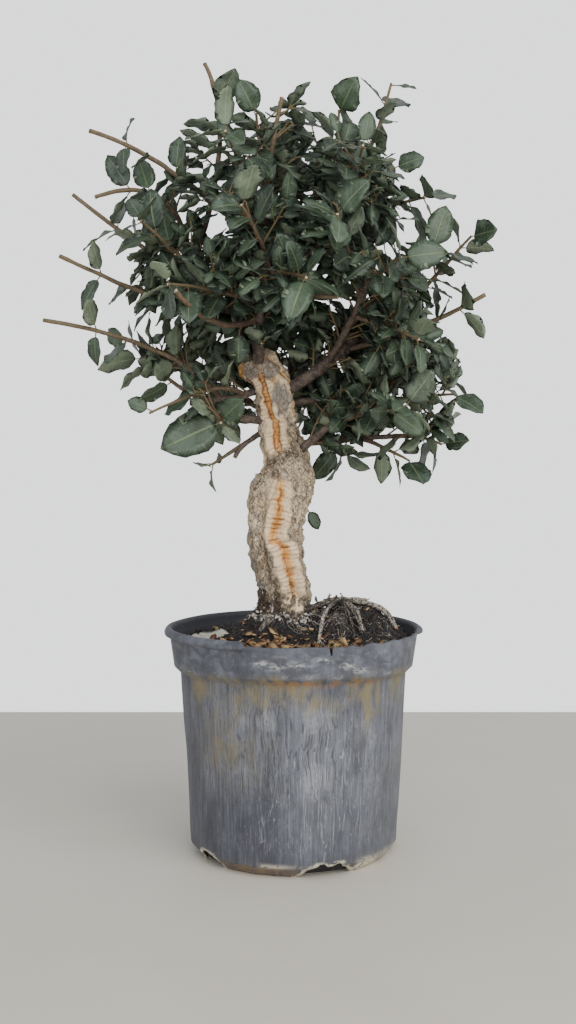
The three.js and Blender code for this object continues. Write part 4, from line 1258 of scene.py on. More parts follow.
@dataclass
class SoilBed:
    """Potting mix in the pot, mounded at the trunk and at the right, with litter lying on it."""

    edge_z: float = 152
    mounds: tuple = ((-8, 0, 24, 25), (48, 5, 27, 19), (-44, -30, 5, 20))
    columns: int = 220
    seed: int = 51
    crumbs: int = 1500
    dark_strands: int = 420
    front_flakes: int = 420
    spread_flakes: int = 60
    grains: int = 60
    white_threads: int = 340
    steps: int = 8
    notch: tuple = (27, 4)

    def height(self, x: Array, y: Array) -> Array:
        """Edge height, 2 more inside, plus a bell for each mound and a slow ripple.

        Args:
            x: Places to the right.
            y: Places to the back.

        Returns:
            One for each place.
        """
        inside = 1 - smooth_step(62, 86, np.hypot(x, y))
        total = self.edge_z + 2 * inside
        for at_x, at_y, rise, spread in self.mounds:
            total = total + rise * np.exp(-((x - at_x) ** 2 + (y - at_y) ** 2) / (2 * spread**2))
        return total + 1.4 * inside * np.sin(x / 7) * np.cos(y / 6 + 1)

    def rough(self, x: Array, y: Array) -> Array:
        """Surface height with its lumps: two layers of relief, of 9 mm and 3 mm cells.

        Args:
            x: Places to the right.
            y: Places to the back.

        Returns:
            One for each place.
        """
        flat = np.stack([x, y, 0 * x], -1)
        lumpy = 1.5 * rough_field(flat, 9, 41, 2) + 0.9 * np.abs(rough_field(flat, 3.2, 42, 2))
        return self.height(x, y) + lumpy * (1 - smooth_step(80, 87, np.hypot(x, y)))

    def bed(self, pot: NurseryPot) -> Patch:
        """Top disc of rings that meets the wall, then the side and the flat underside.

        Args:
            pot: Whose dent the soil shares.

        Returns:
            The bed's patch.
        """
        turn = np.linspace(-np.pi, np.pi, self.columns, endpoint=False)
        radii = np.append(1.5, np.linspace(3, 86.6, 96))[:, None]
        x, y = radii * np.cos(turn), radii * np.sin(turn)
        top = np.stack([x, y, self.rough(x, y)], -1)
        side = [(85.4, 138.8), (80.4, 133.6), (73.8, 9.4), (68.6, 2.3), (1.5, 2.3)]
        down = [np.stack([r * np.cos(turn), r * np.sin(turn), z + 0 * turn], -1) for r, z in side]
        grid = np.concatenate([top, np.stack(down)])[::-1]
        rows = len(grid)
        ends = [[0, 0, 2.3], [0, 0, float(self.rough(np.zeros(1), np.zeros(1))[0])]]
        patch = Patch(pot.dent(np.concatenate([grid.reshape(-1, 3), ends])))
        patch.add(grid_quads(rows, self.columns, True))
        patch.add(fan(np.arange(self.columns), rows * self.columns, False))
        return patch.add(fan(np.arange(self.columns) + (rows - 1) * self.columns, rows * self.columns + 1, True))

    def scatter(self, count: int, random: np.random.Generator, reach: float = 82) -> Array:
        """Places spread evenly over the soil's disc, on its surface.

        Args:
            count: How many.
            random: Source of the places.
            reach: The disc's radius.

        Returns:
            Places, one a row.
        """
        radius = reach * np.sqrt(random.uniform(0, 1, count))
        turn = random.uniform(0, 2 * np.pi, count)
        x, y = radius * np.cos(turn), radius * np.sin(turn)
        return np.stack([x, y, self.rough(x, y)], -1)

    def strands(self, starts: Array, headings: Array, length: Array, lift: float, random: np.random.Generator) -> Array:
        """Paths over the soil: each walks from its start with a heading that wanders, a little above it.

        Args:
            starts: Start places.
            headings: Angles of the first step.
            length: Each path's length.
            lift: Height over the soil.
            random: Source of the wandering.

        Returns:
            Paths shaped (count, steps + 1, 3).
        """
        turns = headings[:, None] + np.cumsum(random.normal(0, 0.32, (len(starts), self.steps)), axis=1)
        stride = (length / self.steps)[:, None]
        x = starts[:, :1] + np.cumsum(np.cos(turns) * stride, axis=1)
        y = starts[:, 1:2] + np.cumsum(np.sin(turns) * stride, axis=1)
        x, y = np.hstack([starts[:, :1], x]), np.hstack([starts[:, 1:2], y])
        inward = np.minimum(1, 84 / np.hypot(x, y))
        x, y = x * inward, y * inward
        wave = lift * (0.4 + np.abs(random.normal(0, 1, x.shape)))
        return np.stack([x, y, self.rough(x, y) + wave], -1)

    def flakes(self, centres: Array, sizes: Array, random: np.random.Generator, finish: int) -> Patch:
        """Thin curled flakes: a 3 by 3 grid bent up at its ends, closed by an underside.

        Args:
            centres: One place each.
            sizes: Length and width each.
            random: Source of turn, tilt and curl.
            finish: Number of the finish.

        Returns:
            All flakes as one patch.
        """
        count = len(centres)
        turn, curl = random.uniform(0, 2 * np.pi, count), random.uniform(0.1, 0.45, count)
        tilt = random.normal(0, 0.35, (count, 2))
        u, v = np.meshgrid([-1, 0, 1], [-1, 0, 1])
        ragged = random.uniform(0.6, 1.1, (count, 2, 3, 3))
        along = u * sizes[:, :1, None] / 2 * ragged[:, 0]
        across = v * sizes[:, 1:, None] / 2 * ragged[:, 1]
        x = along * np.cos(turn)[:, None, None] - across * np.sin(turn)[:, None, None]
        y = along * np.sin(turn)[:, None, None] + across * np.cos(turn)[:, None, None]
        z = curl[:, None, None] * (u**2) * sizes[:, :1, None] / 2
        z = z + x * tilt[:, 0, None, None] + y * tilt[:, 1, None, None]
        top = centres[:, None, None, :] + np.stack([x, y, z], -1)
        under = top[:, 1, 1] - [0, 0, 0.6]
        points = np.concatenate([top.reshape(count, 9, 3), under[:, None]], axis=1)
        start = np.arange(count)[:, None, None] * 10
        quads = (grid_quads(3, 3, False) + start).reshape(-1, 4)
        rim = fan(np.array([0, 1, 2, 5, 8, 7, 6, 3]), 9, False)
        patch = Patch(points.reshape(-1, 3)).add(quads, finish).add((rim + start).reshape(-1, 3), finish)
        patch.marks["tone"] = np.repeat(random.uniform(0, 1, count), 10)
        return patch

    def build(self, pot: NurseryPot) -> list:
        """The bed with its crumbs and strands, then what lies on it.

        Args:
            pot: Whose dent the soil shares.

        Returns:
            The pieces.
        """
        random = np.random.default_rng(self.seed)
        crumbs = self.scatter(self.crumbs, random, 84)
        sizes = random.uniform(0.5, 1.9, (self.crumbs, 1)) * random.uniform(0.6, 1.2, (self.crumbs, 3))
        count, rings, sides = self.dark_strands, self.steps + 1, 3
        starts = self.scatter(count, random)
        dark = self.strands(starts, random.uniform(0, 6.3, count), random.uniform(8, 26, count), 0.7, random)
        thin = tubes(pot.dent(dark), np.linspace(0.28, 0.12, rings) * np.ones((count, 1)), sides, 2)
        thin.marks["tone"] = np.repeat(random.uniform(0, 1, count), rings * sides + 2)
        patches = [self.bed(pot), lumps(pot.dent(crumbs), sizes, 52, 1), thin]
        bed = make_piece("soil_bed", patches, [PottingMix(), CRUMBS, STRANDS], "potting_mix", "soil")
        return [bed, self.litter(pot, random), self.threads(pot, random), self.fallen(pot)]

    def litter(self, pot: NurseryPot, random: np.random.Generator) -> bpy.types.Object:
        """Bark flakes, most of them along the front, and lime granules at the trunk's foot.

        Args:
            pot: Whose dent the soil shares.
            random: The soil's source of chance.

        Returns:
            The piece.
        """
        count = self.front_flakes + self.spread_flakes
        front = np.stack([random.uniform(-60, 84, self.front_flakes), random.normal(-62, 12, self.front_flakes)], -1)
        front[:, 1] += 12 * bump_at(front[:, 0], *self.notch) * (front[:, 1] < -68)
        front *= np.minimum(1, 83 / np.hypot(front[:, 0], front[:, 1]))[:, None]
        spread = self.scatter(self.spread_flakes, random)[:, :2]
        flat = np.vstack([front, spread])
        at = np.column_stack([flat, self.rough(flat[:, 0], flat[:, 1]) + 0.8])
        at[:, 2] += random.uniform(0, 1.6, count)
        size = 1.6 + 5.4 * random.uniform(0, 1, count) ** 2
        sizes = np.column_stack([size * random.uniform(1.1, 1.9, count), size])
        flakes = self.flakes(pot.dent(at), sizes, random, 0)
        turn, away = random.uniform(-2.7, -0.2, self.grains), random.uniform(17, 27, self.grains)
        x, y = -8 + away * np.cos(turn), away * np.sin(turn)
        grains = np.column_stack([x, y, self.rough(x, y) + 1])
        stones = lumps(pot.dent(grains), random.uniform(0.4, 1.3, (self.grains, 3)), 53, 1)
        return make_piece("soil_litter", [flakes, stones], [FLAKES, GRANULES], "potting_mix")

    def fallen(self, pot: NurseryPot) -> bpy.types.Object:
        """Two dry curled leaves on the soil at the left.

        Args:
            pot: Whose dent the soil shares.

        Returns:
            The piece.
        """
        foots = pot.dent(np.array([[-72.0, -29, 0], [-80, -30, 0]]))
        foots[:, 2] = self.rough(foots[:, 0], foots[:, 1]) + [5.4, 7]
        ways = unit(np.array([[1, -0.25, 0.05], [0.9, -0.3, 0.1]]))
        sides = unit(np.cross(ways, [[0, -0.75, 0.7], [0, -0.5, 0.9]]))
        forms = ((28, 10, 0.14, 5, 0.58), (13, 7, 0.2, 2, 0.58))
        leaves = [Leaf(f, w, d, np.cross(d, w), *form) for f, w, d, form in zip(foots, ways, sides, forms)]
        patch = LeafForm(fold=0.4, ripple=0.1).blades(leaves, 55)
        patch.marks["tone"] = np.full(len(patch.points), 0.9)
        return make_piece("fallen_leaves", [patch], [TWIG_BARK, DRY_LEAF, DRY_LEAF], "leaf")

    def threads(self, pot: NurseryPot, random: np.random.Generator) -> bpy.types.Object:
        """Fine white roots that leave the trunk's foot and the root's spider and run down the mounds.

        Args:
            pot: Whose dent the soil shares.
            random: The soil's source of chance.

        Returns:
            The piece.
        """
        count, rings, sides = self.white_threads, self.steps + 1, 4
        around = random.uniform(-np.pi, 0.6, count)
        away = random.uniform(17, 24, count)
        foot = np.stack([-8 + away * np.cos(around), away * np.sin(around)], -1)
        spider = np.stack([34 + random.normal(0, 4, count), -11 + random.normal(0, 4, count)], -1)
        mound = np.stack([random.uniform(18, 74, count), random.uniform(-54, -2, count)], -1)
        pick = random.uniform(0, 1, (count, 1))
        starts = np.where(pick < 0.36, foot, np.where(pick < 0.58, spider, mound))
        length = random.uniform(3, 9, count) + 16 * random.uniform(0, 1, count) ** 3 * (pick[:, 0] < 0.58)
        paths = self.strands(starts, around + random.normal(0, 0.3, count), length, 0.8, random)
        radii = np.linspace(0.34, 0.12, rings) * random.uniform(0.5, 1.3, (count, 1)) * np.where(pick < 0.58, 1, 0.7)
        patch = tubes(pot.dent(paths), radii, sides)
        patch.marks["tone"] = np.repeat(random.uniform(0, 1, count) ** 1.4, rings * sides + 2)
        return make_piece("white_root_threads", [patch], [THREADS], "root_bark")


# Trunk and limbs


class SplitKind(Enum):
    """How a split looks: a dark fissure, a zigzag of flesh, or a ribbed band between two edges."""

    FISSURE = "fissure"
    LINE = "line"
    BAND = "band"


@dataclass
class Split:
    """A long split in the cork: heights and angles along it, depth, half width and reach of its glow."""

    heights: tuple
    degrees: tuple
    depth: float
    half: float
    kind: SplitKind = SplitKind.FISSURE
    glow: tuple = (1.8, 4.2)


@dataclass
class CorkTrunk:
    """The corky trunk: a tube along 14 stations whose surface stands in and out as cork does."""

    stations: tuple = (
        (-8, 0, 148, 18, 18),
        (-8, 0, 163, 22, 21),
        (-7, 0, 178, 19, 19),
        (-8, -1, 196, 17.5, 17),
        (-11.5, -3, 219, 18, 17),
        (-14, -4, 235, 18.5, 17),
        (-11, -3, 254, 21.2, 18),
        (-4.5, -1, 272, 20, 17.5),
        (-5, 1, 287, 16.5, 15.5),
        (-10, 2, 301, 14.3, 14),
        (-12, 1, 320, 13.4, 13),
        (-14, 0, 339, 13.5, 12.5),
        (-22, 0, 355, 11.5, 11),
        (-28, 0, 364, 8, 8),
    )
    cad_splits: tuple = (
        ((184, 264), (-56, -100), 2.6, 0.2),
        ((298, 348), (-98, -130), 2.4, 0.22),
        ((198, 276), (-120, -124), 2.4, 0.18),
        ((186, 262), (-18, -8), 2.4, 0.2),
        ((190, 330), (48, 92), 3.2, 0.24),
        ((182, 300), (142, 168), 3, 0.22),
    )
    splits: tuple = (
        Split(
            (188, 195.6, 210.3, 225, 228, 230.7, 245.1, 260.2, 270),
            (-61, -64, -69, -71, -88, -92, -84, -94, -106),
            1.4,
            1,
            SplitKind.LINE,
        ),
        Split(
            (292, 316, 318.5, 322, 339.4, 348.7, 353),
            (-100, -97, -109, -114, -125, -119, -118),
            1.3,
            2.3,
            SplitKind.BAND,
        ),
        Split((318, 334, 341, 349, 360), (-22, -30, -36, -46, -62), 1.2, 1, SplitKind.LINE, (0.4, 1.7)),
        Split((198, 227, 255, 279), (-123, -120, -109, -115), 2.2, 1.3),
        Split((243, 260, 276), (-27, -12, -8), 1.6, 1.2),
        Split((196, 240, 300, 330), (50, 64, 84, 92), 1.8, 1.4, SplitKind.LINE),
        Split((188, 240, 300), (143, 154, 168), 1.6, 1.3, SplitKind.BAND),
    )
    scars: tuple = ((282, -140, 6, 26), (288, -95, 4, 24), (291, -58, 6, 18), (268, -150, 10, 10), (352, -150, 8, 22))
    cross_cracks: tuple = (244, 240, 230.5, 224, 208, 203.5, 196)
    skin_patches: tuple = ((352, -78, 8, 44), (331, -70, 11, 30), (210, 175, 30, 26))
    flaky_patch: tuple = (184, -68, 9, 24)
    rib_spacing: float = 3.1
    columns: int = 236
    rings: int = 390

    def centre(self, shares: Array) -> Array:
        """Middle line of the trunk."""
        return catmull(np.array(self.stations)[:, :3], shares)

    def size(self, shares: Array) -> Array:
        """Half width and half depth of the trunk."""
        return catmull(np.array(self.stations)[:, 3:], shares)

    def plain_relief(self, turn: Array, height: Array) -> Array:
        """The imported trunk's own relief: three slow waves, and a groove with raised lips at each split.

        Args:
            turn: Angle of each place.
            height: Height of each place.

        Returns:
            How far each place stands out.
        """
        relief = 0.9 * np.sin(5 * turn + height * 0.11) + 0.8 * np.sin(8 * turn - height * 0.17 + 1.3)
        relief += 0.6 * np.sin(3 * turn + height * 0.62)
        for heights, degrees, depth, half in self.cad_splits:
            share = (height - heights[0]) / (heights[1] - heights[0])
            ends = between(-0.08, 0.1, 0.9, 1.08, share)
            middle = np.radians(degrees[0] + (degrees[1] - degrees[0]) * share)
            away = np.arctan2(np.sin(turn - middle), np.cos(turn - middle)) / half
            relief += ends * depth * (0.7 * np.exp(-((np.abs(away) - 1.9) ** 2)) - np.exp(-away * away))
        return relief

    def split_marks(self, around: Array, turn: Array, height: Array, radius: Array) -> dict:
        """How near each place is to the splits, and where the cork beside them is pale and ribbed.

        Args:
            around: Places on a plain upright tube.
            turn: Angle of each place.
            height: Height of each place.
            radius: Distance from the middle line.

        Returns:
            The marks by name, each 0 to 1, and the depth of the grooves as "groove".
        """
        names = ("rust", "amber", "ladder", "crevice", "groove")
        torn = 0.35 + 0.65 * smooth_step(-0.35, 0.2, rough_field(around, (6, 6, 9), 79, 2))
        marks = {name: np.zeros_like(height) for name in names}
        sway = 1.1 * rough_field(around, 4, 67, 2)
        for split in self.splits:
            middle = np.radians(np.interp(height, split.heights, split.degrees))
            away = np.abs(np.arctan2(np.sin(turn - middle), np.cos(turn - middle)) * radius + sway)
            low, high = split.heights[0], split.heights[-1]
            there = between(low - 3, low + 5, high - 5, high + 3, height)
            groove = there * np.exp(-((away / (split.half + 0.3)) ** 2))
            marks["groove"] = np.maximum(marks["groove"], split.depth * groove)
            if split.kind is SplitKind.FISSURE:
                marks["crevice"] = np.maximum(marks["crevice"], groove * torn)
                continue
            band = split.kind is SplitKind.BAND
            edge = away - (split.half if band else 0)
            line = there * np.exp(-((edge / 0.7) ** 2)) * (1 if band else torn)
            marks["rust"] = np.maximum(marks["rust"], 0.9 * line)
            inner, outer = (split.half - 0.4, split.half + 1) if band else split.glow
            marks["amber"] = np.maximum(marks["amber"], there * (1 - smooth_step(inner, outer, away)))
            for level in [] if band else self.cross_cracks:
                across = there * bump_at(height + sway, level, 0.6) * (1 - smooth_step(3, 4.6, away))
                marks["rust"] = np.maximum(marks["rust"], across)
                marks["groove"] = np.maximum(marks["groove"], 0.9 * across)
            marks["ladder"] = np.maximum(marks["ladder"], there * (1 - smooth_step(7, 11, away)))
        return marks

    def relief(self, turn: Array, height: Array, radius: Array) -> tuple:
        """Fine cork on top of the plain relief, and the marks that colour it.

        Cork breaks into plates of two sizes with cracks between them. Beside each orange split it is
        pale and ribbed across instead, with a thin line between the ribs.

        Args:
            turn: Angle of each place.
            height: Height of each place.
            radius: Distance from the middle line.

        Returns:
            How far each place stands out, and the marks by name.
        """
        around = np.stack([radius * np.cos(turn), radius * np.sin(turn), height], -1)
        wander = around + 1.7 * np.stack([rough_field(around, 6, 60 + i, 2) for i in range(3)], -1)
        coarse_edge, coarse = plates(wander, (3.4, 3.4, 8), 61)
        fine_edge, fine = plates(wander, (1.7, 1.7, 3.4), 65)
        presence = smooth_step(-0.45, 0.35, rough_field(around, (5, 5, 10), 76, 2))
        crack = (1 - smooth_step(0.02, 0.2, coarse_edge)) * (0.25 + 0.75 * presence)
        small = (1 - smooth_step(0.02, 0.26, fine_edge)) * (0.4 + 0.6 * presence)
        contour = (4.5 * rough_field(wander, (8, 8, 19), 77, 2)) % 1
        flow = np.exp(-(((contour - 0.5) / 0.17) ** 2)) * (0.5 + 0.5 * presence)
        marks = self.split_marks(around, turn, height, radius)
        patches = np.zeros_like(height)
        for level, degrees, tall, wide in self.skin_patches:
            turned = (np.degrees(turn) - degrees + 180) % 360 - 180
            patches = np.maximum(patches, bump_at(height, level, tall) * bump_at(turned, 0, wide))
        patches = smooth_step(0.28, 0.5, patches + 0.2 * rough_field(around, (3, 3, 5), 78, 2))
        rim = 3 * patches * (1 - patches) * (height > 300) * smooth_step(-0.2, 0.4, rough_field(around, 6, 81))
        marks["amber"] = np.maximum(marks["amber"], 0.8 * rim)
        marks["ladder"] = marks["ladder"] * (1 - patches)
        phase = (height + 1.3 * rough_field(around, 7, 68, 2)) / self.rib_spacing
        rib = np.exp(-(((phase % 1) - 0.5) / 0.13) ** 2) * smooth_step(-0.5, 0.1, rough_field(around, (6, 6, 3), 72))
        ladder = marks["ladder"]
        calm = 1 - 0.9 * np.maximum(ladder, marks["amber"])
        scar = np.zeros_like(height)
        for level, degrees, tall, wide in self.scars:
            scar = np.maximum(scar, bump_at(height, level, tall) * bump_at(np.degrees(turn), degrees, wide))
        skin = smooth_step(312, 334, height) * smooth_step(-0.1, 0.5, np.sin(turn + 2.2))
        skin = np.clip(skin * (1 + 0.5 * rough_field(around, 8, 70)), 0, 1) * (1 - ladder)
        skin = np.maximum(skin, patches * (0.75 + 0.3 * rough_field(around, 2.5, 82)))
        flaky = bump_at(height, self.flaky_patch[0], self.flaky_patch[2])
        flaky = flaky * bump_at(np.degrees(turn), self.flaky_patch[1], self.flaky_patch[3])
        level = height + 9 * np.cos(turn)
        foot = 1 - smooth_step(180, 203 + 9 * rough_field(around, (5, 5, 8), 71, 2), level)
        flaky = smooth_step(0.3, 0.6, flaky + 0.2 * rough_field(around, 3, 80, 2))
        chips = flaky * smooth_step(-0.1, 0.2, rough_field(around, (2.2, 2.2, 2.4), 83, 2))
        foot = foot * (1 - flaky)
        broken = np.clip(calm * (1 - 0.7 * skin) + scar + 0.5 * foot, 0, 1.6)
        out = self.plain_relief(turn, height) + 0.8 * rough_field(around, (7, 7, 12), 66, 2)
        out += broken * (0.6 * coarse + 0.35 * fine - 1.0 * crack - 0.5 * small - 0.45 * flow - 0.1)
        out += 0.8 * scar * rough_field(around, 3, 73, 2) + 0.9 * foot * rough_field(around, 3.4, 74, 2)
        out += 1.1 * chips - 0.5 * flaky
        out -= ladder * 0.55 * rib + marks.pop("groove") + 0.3 * skin * (1 - smooth_step(0, 0.3, coarse_edge))
        out += 0.45 * rough_field(around, (1.7, 1.7, 2.6), 69, 2) * (0.3 + 0.7 * calm)
        side = marks["amber"] * rib * (rough_field(around, 5, 75) > -0.1)
        marks["rust"] = np.clip(marks["rust"] + 0.7 * side, 0, 1)
        dark = broken * (0.65 * crack + 0.4 * small + 0.5 * flow) + 0.85 * ladder * rib + 0.12 * scar
        marks["crevice"] = np.clip(np.maximum(marks["crevice"], dark), 0, 1) * (1 - chips)
        marks["crevice"] = np.maximum(marks["crevice"], flaky - chips)
        marks["ladder"] = np.maximum(ladder * (1 - flaky), chips)
        marks["plate"] = 0.6 * coarse + 0.4 * fine
        marks["skin"] = skin
        # painted shade: a fifth of the soil colour fading in below about 246 mm, reaching higher on the left flank away
        # from the key light; the foot's full mark is real soil
        marks["earth"] = np.maximum(foot, 0.2 * smooth_step(246, 206, level) * (1 - ladder) * presence)
        return out, marks

    def build(self) -> bpy.types.Object:
        """Tube of rings: each point is centre + wide cos a (w + relief) + deep sin a (d + relief).

        Returns:
            The trunk's piece.
        """
        shares = np.linspace(0, 1, self.rings)
        turn = np.linspace(-np.pi, np.pi, self.columns, endpoint=False)[None, :]
        centre, size = self.centre(shares), self.size(shares)
        along = tangent(self.centre, shares)
        deep = unit(np.array([0, 1, 0]) - along * along[:, 1:2])
        wide = np.cross(deep, along)
        height = np.repeat(centre[:, 2:3], self.columns, axis=1)
        mean = size.mean(axis=1, keepdims=True) + 0 * turn
        out, marks = self.relief(turn + 0 * mean, height, mean)
        ending = 1 - smooth_step(0.985, 1.0, shares)[:, None] * 0.25
        reach = [(size[:, i : i + 1] + out) * ending for i in (0, 1)]
        body = centre[:, None] + wide[:, None] * (np.cos(turn) * reach[0])[..., None]
        body = body + deep[:, None] * (np.sin(turn) * reach[1])[..., None]
        points = np.concatenate([body.reshape(-1, 3), centre[:1], centre[-1:] + [0, 0, 0.5]])
        patch = Patch(points).add(grid_quads(self.rings, self.columns, True))
        last = self.rings * self.columns
        patch.add(fan(np.arange(self.columns), last, False))
        patch.add(fan(np.arange(self.columns) + last - self.columns, last + 1, True))
        patch.marks = {name: np.append(mark.ravel(), [0, 0.5]) for name, mark in marks.items()}
        return make_piece("cork_trunk", [patch, self.knob()], [CorkBark()], "cork_bark", "trunk")

    @staticmethod
    def knob() -> Patch:
        """The cork-covered stub at the trunk's top: a thick tube broken into plates, its end raw.

        Returns:
            The stub's patch.
        """
        path, radii = LIMBS["knob"]
        shares, sides = np.linspace(0, 1.15, 60), 90
        line = bezier(path, shares)
        turn = np.arange(sides) * 2 * np.pi / sides
        around = np.stack(np.broadcast_arrays(9 * np.cos(turn), 9 * np.sin(turn), 20 * shares[:, None]), -1)
        wander = around + 1.5 * np.stack([rough_field(around, 5, 160 + i, 2) for i in range(3)], -1)
        edge, tone = plates(wander, (4.4, 4.4, 6), 161)
        crack = 1 - smooth_step(0.02, 0.22, edge)
        raw = smooth_step(0.92, 1.05, shares)[:, None] + 0 * edge
        split = bump_at(turn, 3.6, 0.16)[None, :] * (1 - 0.4 * raw)
        taper = (radii[0] + (radii[1] - radii[0]) * shares) * np.sqrt(1 - 0.75 * smooth_step(0.9, 1.15, shares))
        uneven = 0.9 * tone - 1.1 * crack + 0.9 * rough_field(around, 5, 166, 2) - 1.2 * split
        patch = tubes(line[None], (taper[:, None] + uneven)[None], sides)
        marks = {"plate": tone, "crevice": 0.7 * crack, "skin": np.clip(0.8 - raw, 0, 1)}
        marks.update({"rust": 0.8 * split, "amber": np.maximum(raw, split)})
        patch.marks = {name: np.append(mark.ravel(), [0, 0.6]) for name, mark in marks.items()}
        return patch


LIMBS = {
    "knob": (((-20, 0, 349), (-28, -1, 352), (-37, -2, 351)), (9, 7)),
    "leader": (((-26, 0, 352), (-27, 3, 402), (-12, 6, 455)), (4.8, 2.6)),
    "left_leader": (((-30, -2, 352), (-46, -4, 398), (-76, 0, 440)), (4.3, 2.4)),
    "front_leader": (((-24, -4, 354), (-26, -38, 386), (-18, -64, 420)), (3.3, 2)),
    "back_leader": (((-22, 4, 350), (-30, 34, 388), (-32, 64, 422)), (3.5, 2.1)),
    "right_up": (((-22, 5, 415), (12, 3, 430), (38, -2, 472)), (3.4, 2.2)),
    "right_stout": (((-12, 0, 334), (16, -3, 350), (39, -6, 368)), (4.4, 4)),
    "right_far": (((30, -4, 362), (58, 14, 378), (82, 26, 396)), (2.6, 1.9)),
    "right_front": (((24, -4, 356), (40, -36, 382), (50, -62, 408)), (2.7, 1.9)),
    "right_thin": (((-8, 5, 328), (26, 14, 332), (54, 20, 336)), (2.7, 2)),
    "right_knot": (((-4, -3, 286), (20, -10, 309), (48, -12, 322)), (3.4, 1.9)),
    "right_low": (((-4, 4, 298), (36, 8, 301), (74, 4, 304)), (2.6, 1.8)),
    "left_high": (((-16, 2, 340), (-46, 0, 330), (-66, -4, 330)), (3.2, 2)),
    "left_mid": (((-14, -2, 316), (-42, -8, 315), (-62, -16, 322)), (3.2, 2)),
    "left_back": (((-14, 4, 322), (-38, 26, 330), (-54, 50, 346)), (3.2, 2)),
    "back_low": (((-12, 6, 330), (-6, 36, 346), (4, 62, 368)), (3.4, 2)),
    "left_hook": (((-14, 0, 310), (-38, 2, 302), (-43, 0, 288)), (2.4, 1.5)),
    "back_shoot": (((-10, 8, 236), (-4, 22, 240), (4, 25, 246)), (2, 1.8)),
}


CUT_STUBS = (
    (((-24, -32, 386), (-54, -60, 370), (-78, -92, 398)), (2.3, 2)),
    (((-18, -62, 419), (-4, -78, 396), (29, -93, 394)), (2.0, 1.5)),
    (((-14, 5, 450), (-22, -50, 445), (-30, -80, 478)), (1.8, 1.4)),
)


FRONT_SHOOT = ((-23.5, -36, 386.5), (-31, -41, 386), (-38, -41, 377))
FRONT_LEAVES = (
    (0.98, (-0.05, 0.05, -1), (-0.1, -1, 0.1), (20, 16)),
    (0.8, (-1, -0.25, 0.1), (0, -1, 0.4), (24, 16)),
    (0.45, (0.35, -0.3, 1), (0, -1, 0.1), (19, 14)),
    (0.3, (1, -0.3, 0.1), (0, -1, 0.4), (20, 13)),
    (0.6, (-0.4, -0.3, 1), (-0.2, -1, 0.2), (22, 16)),
    (0.3, (0.25, -0.1, -1), (0.1, -1, 0.15), (15, 10)),
)


def gnarled(path: Array, radii: Array, sides: int, seed: int, amount: float) -> tuple:
    """A path and radii made uneven: the path sways and each ring's radius is moved by relief.

    Args:
        path: Places, shaped (rings, 3).
        radii: One radius a ring.
        sides: Points round a ring.
        seed: Seed of the relief.
        amount: Relief as a share of the radius.

    Returns:
        The path, and radii shaped (rings, sides).
    """
    sway = np.stack([rough_field(path, 14, seed + i) for i in range(3)], -1)
    ease = np.sin(np.pi * np.linspace(0, 1, len(path)))[:, None]
    turn = np.arange(sides) * 2 * np.pi / sides
    length = np.append(0, np.cumsum(np.linalg.norm(np.diff(path, axis=0), axis=-1)))
    ring = np.stack(np.broadcast_arrays(2.4 * np.cos(turn), 2.4 * np.sin(turn), length[:, None]), -1)
    uneven = 1 + amount * rough_field(ring, (2.5, 2.5, 5), seed + 7, 2)
    return path + 0.5 * ease * sway * radii[:, None], radii[:, None] * uneven


@dataclass
class Limbs:
    """Bare wood that leaves the trunk, and the broken stub on the stout right limb."""

    sides: int = 14
    rings: int = 44
    stub: tuple = ((34, -5, 364), (40, -7, 370), (42, -8, 379))

    def build(self) -> bpy.types.Object:
        """One gnarled tube a limb, along its Bezier curve.

        Returns:
            The limbs' piece.
        """
        shares = np.linspace(0, 1, self.rings)
        patches = []
        for number, (path, radii) in enumerate(list(LIMBS.values())[1:]):
            taper = radii[0] + (radii[1] - radii[0]) * shares
            flare = 1 + 0.25 * np.exp(-shares / 0.08)
            line, rings = gnarled(bezier(path, shares), taper * flare, self.sides, 80 + number, 0.16)
            patches.append(tubes(line[None], rings[None], self.sides, 0, 1))
        swell = 4.6 + 1.2 * np.sin(np.pi * shares)
        line, rings = gnarled(bezier(self.stub, shares), swell, self.sides, 77, 0.5)
        patches.append(tubes(line[None], rings[None], self.sides, 0, 1))
        for patch in patches:
            patch.marks["tone"] = np.full(len(patch.points), 0.2)
        return make_piece("bare_limbs", patches, [LIMB_BARK, CUT_WOOD], "cork_bark", "trunk")


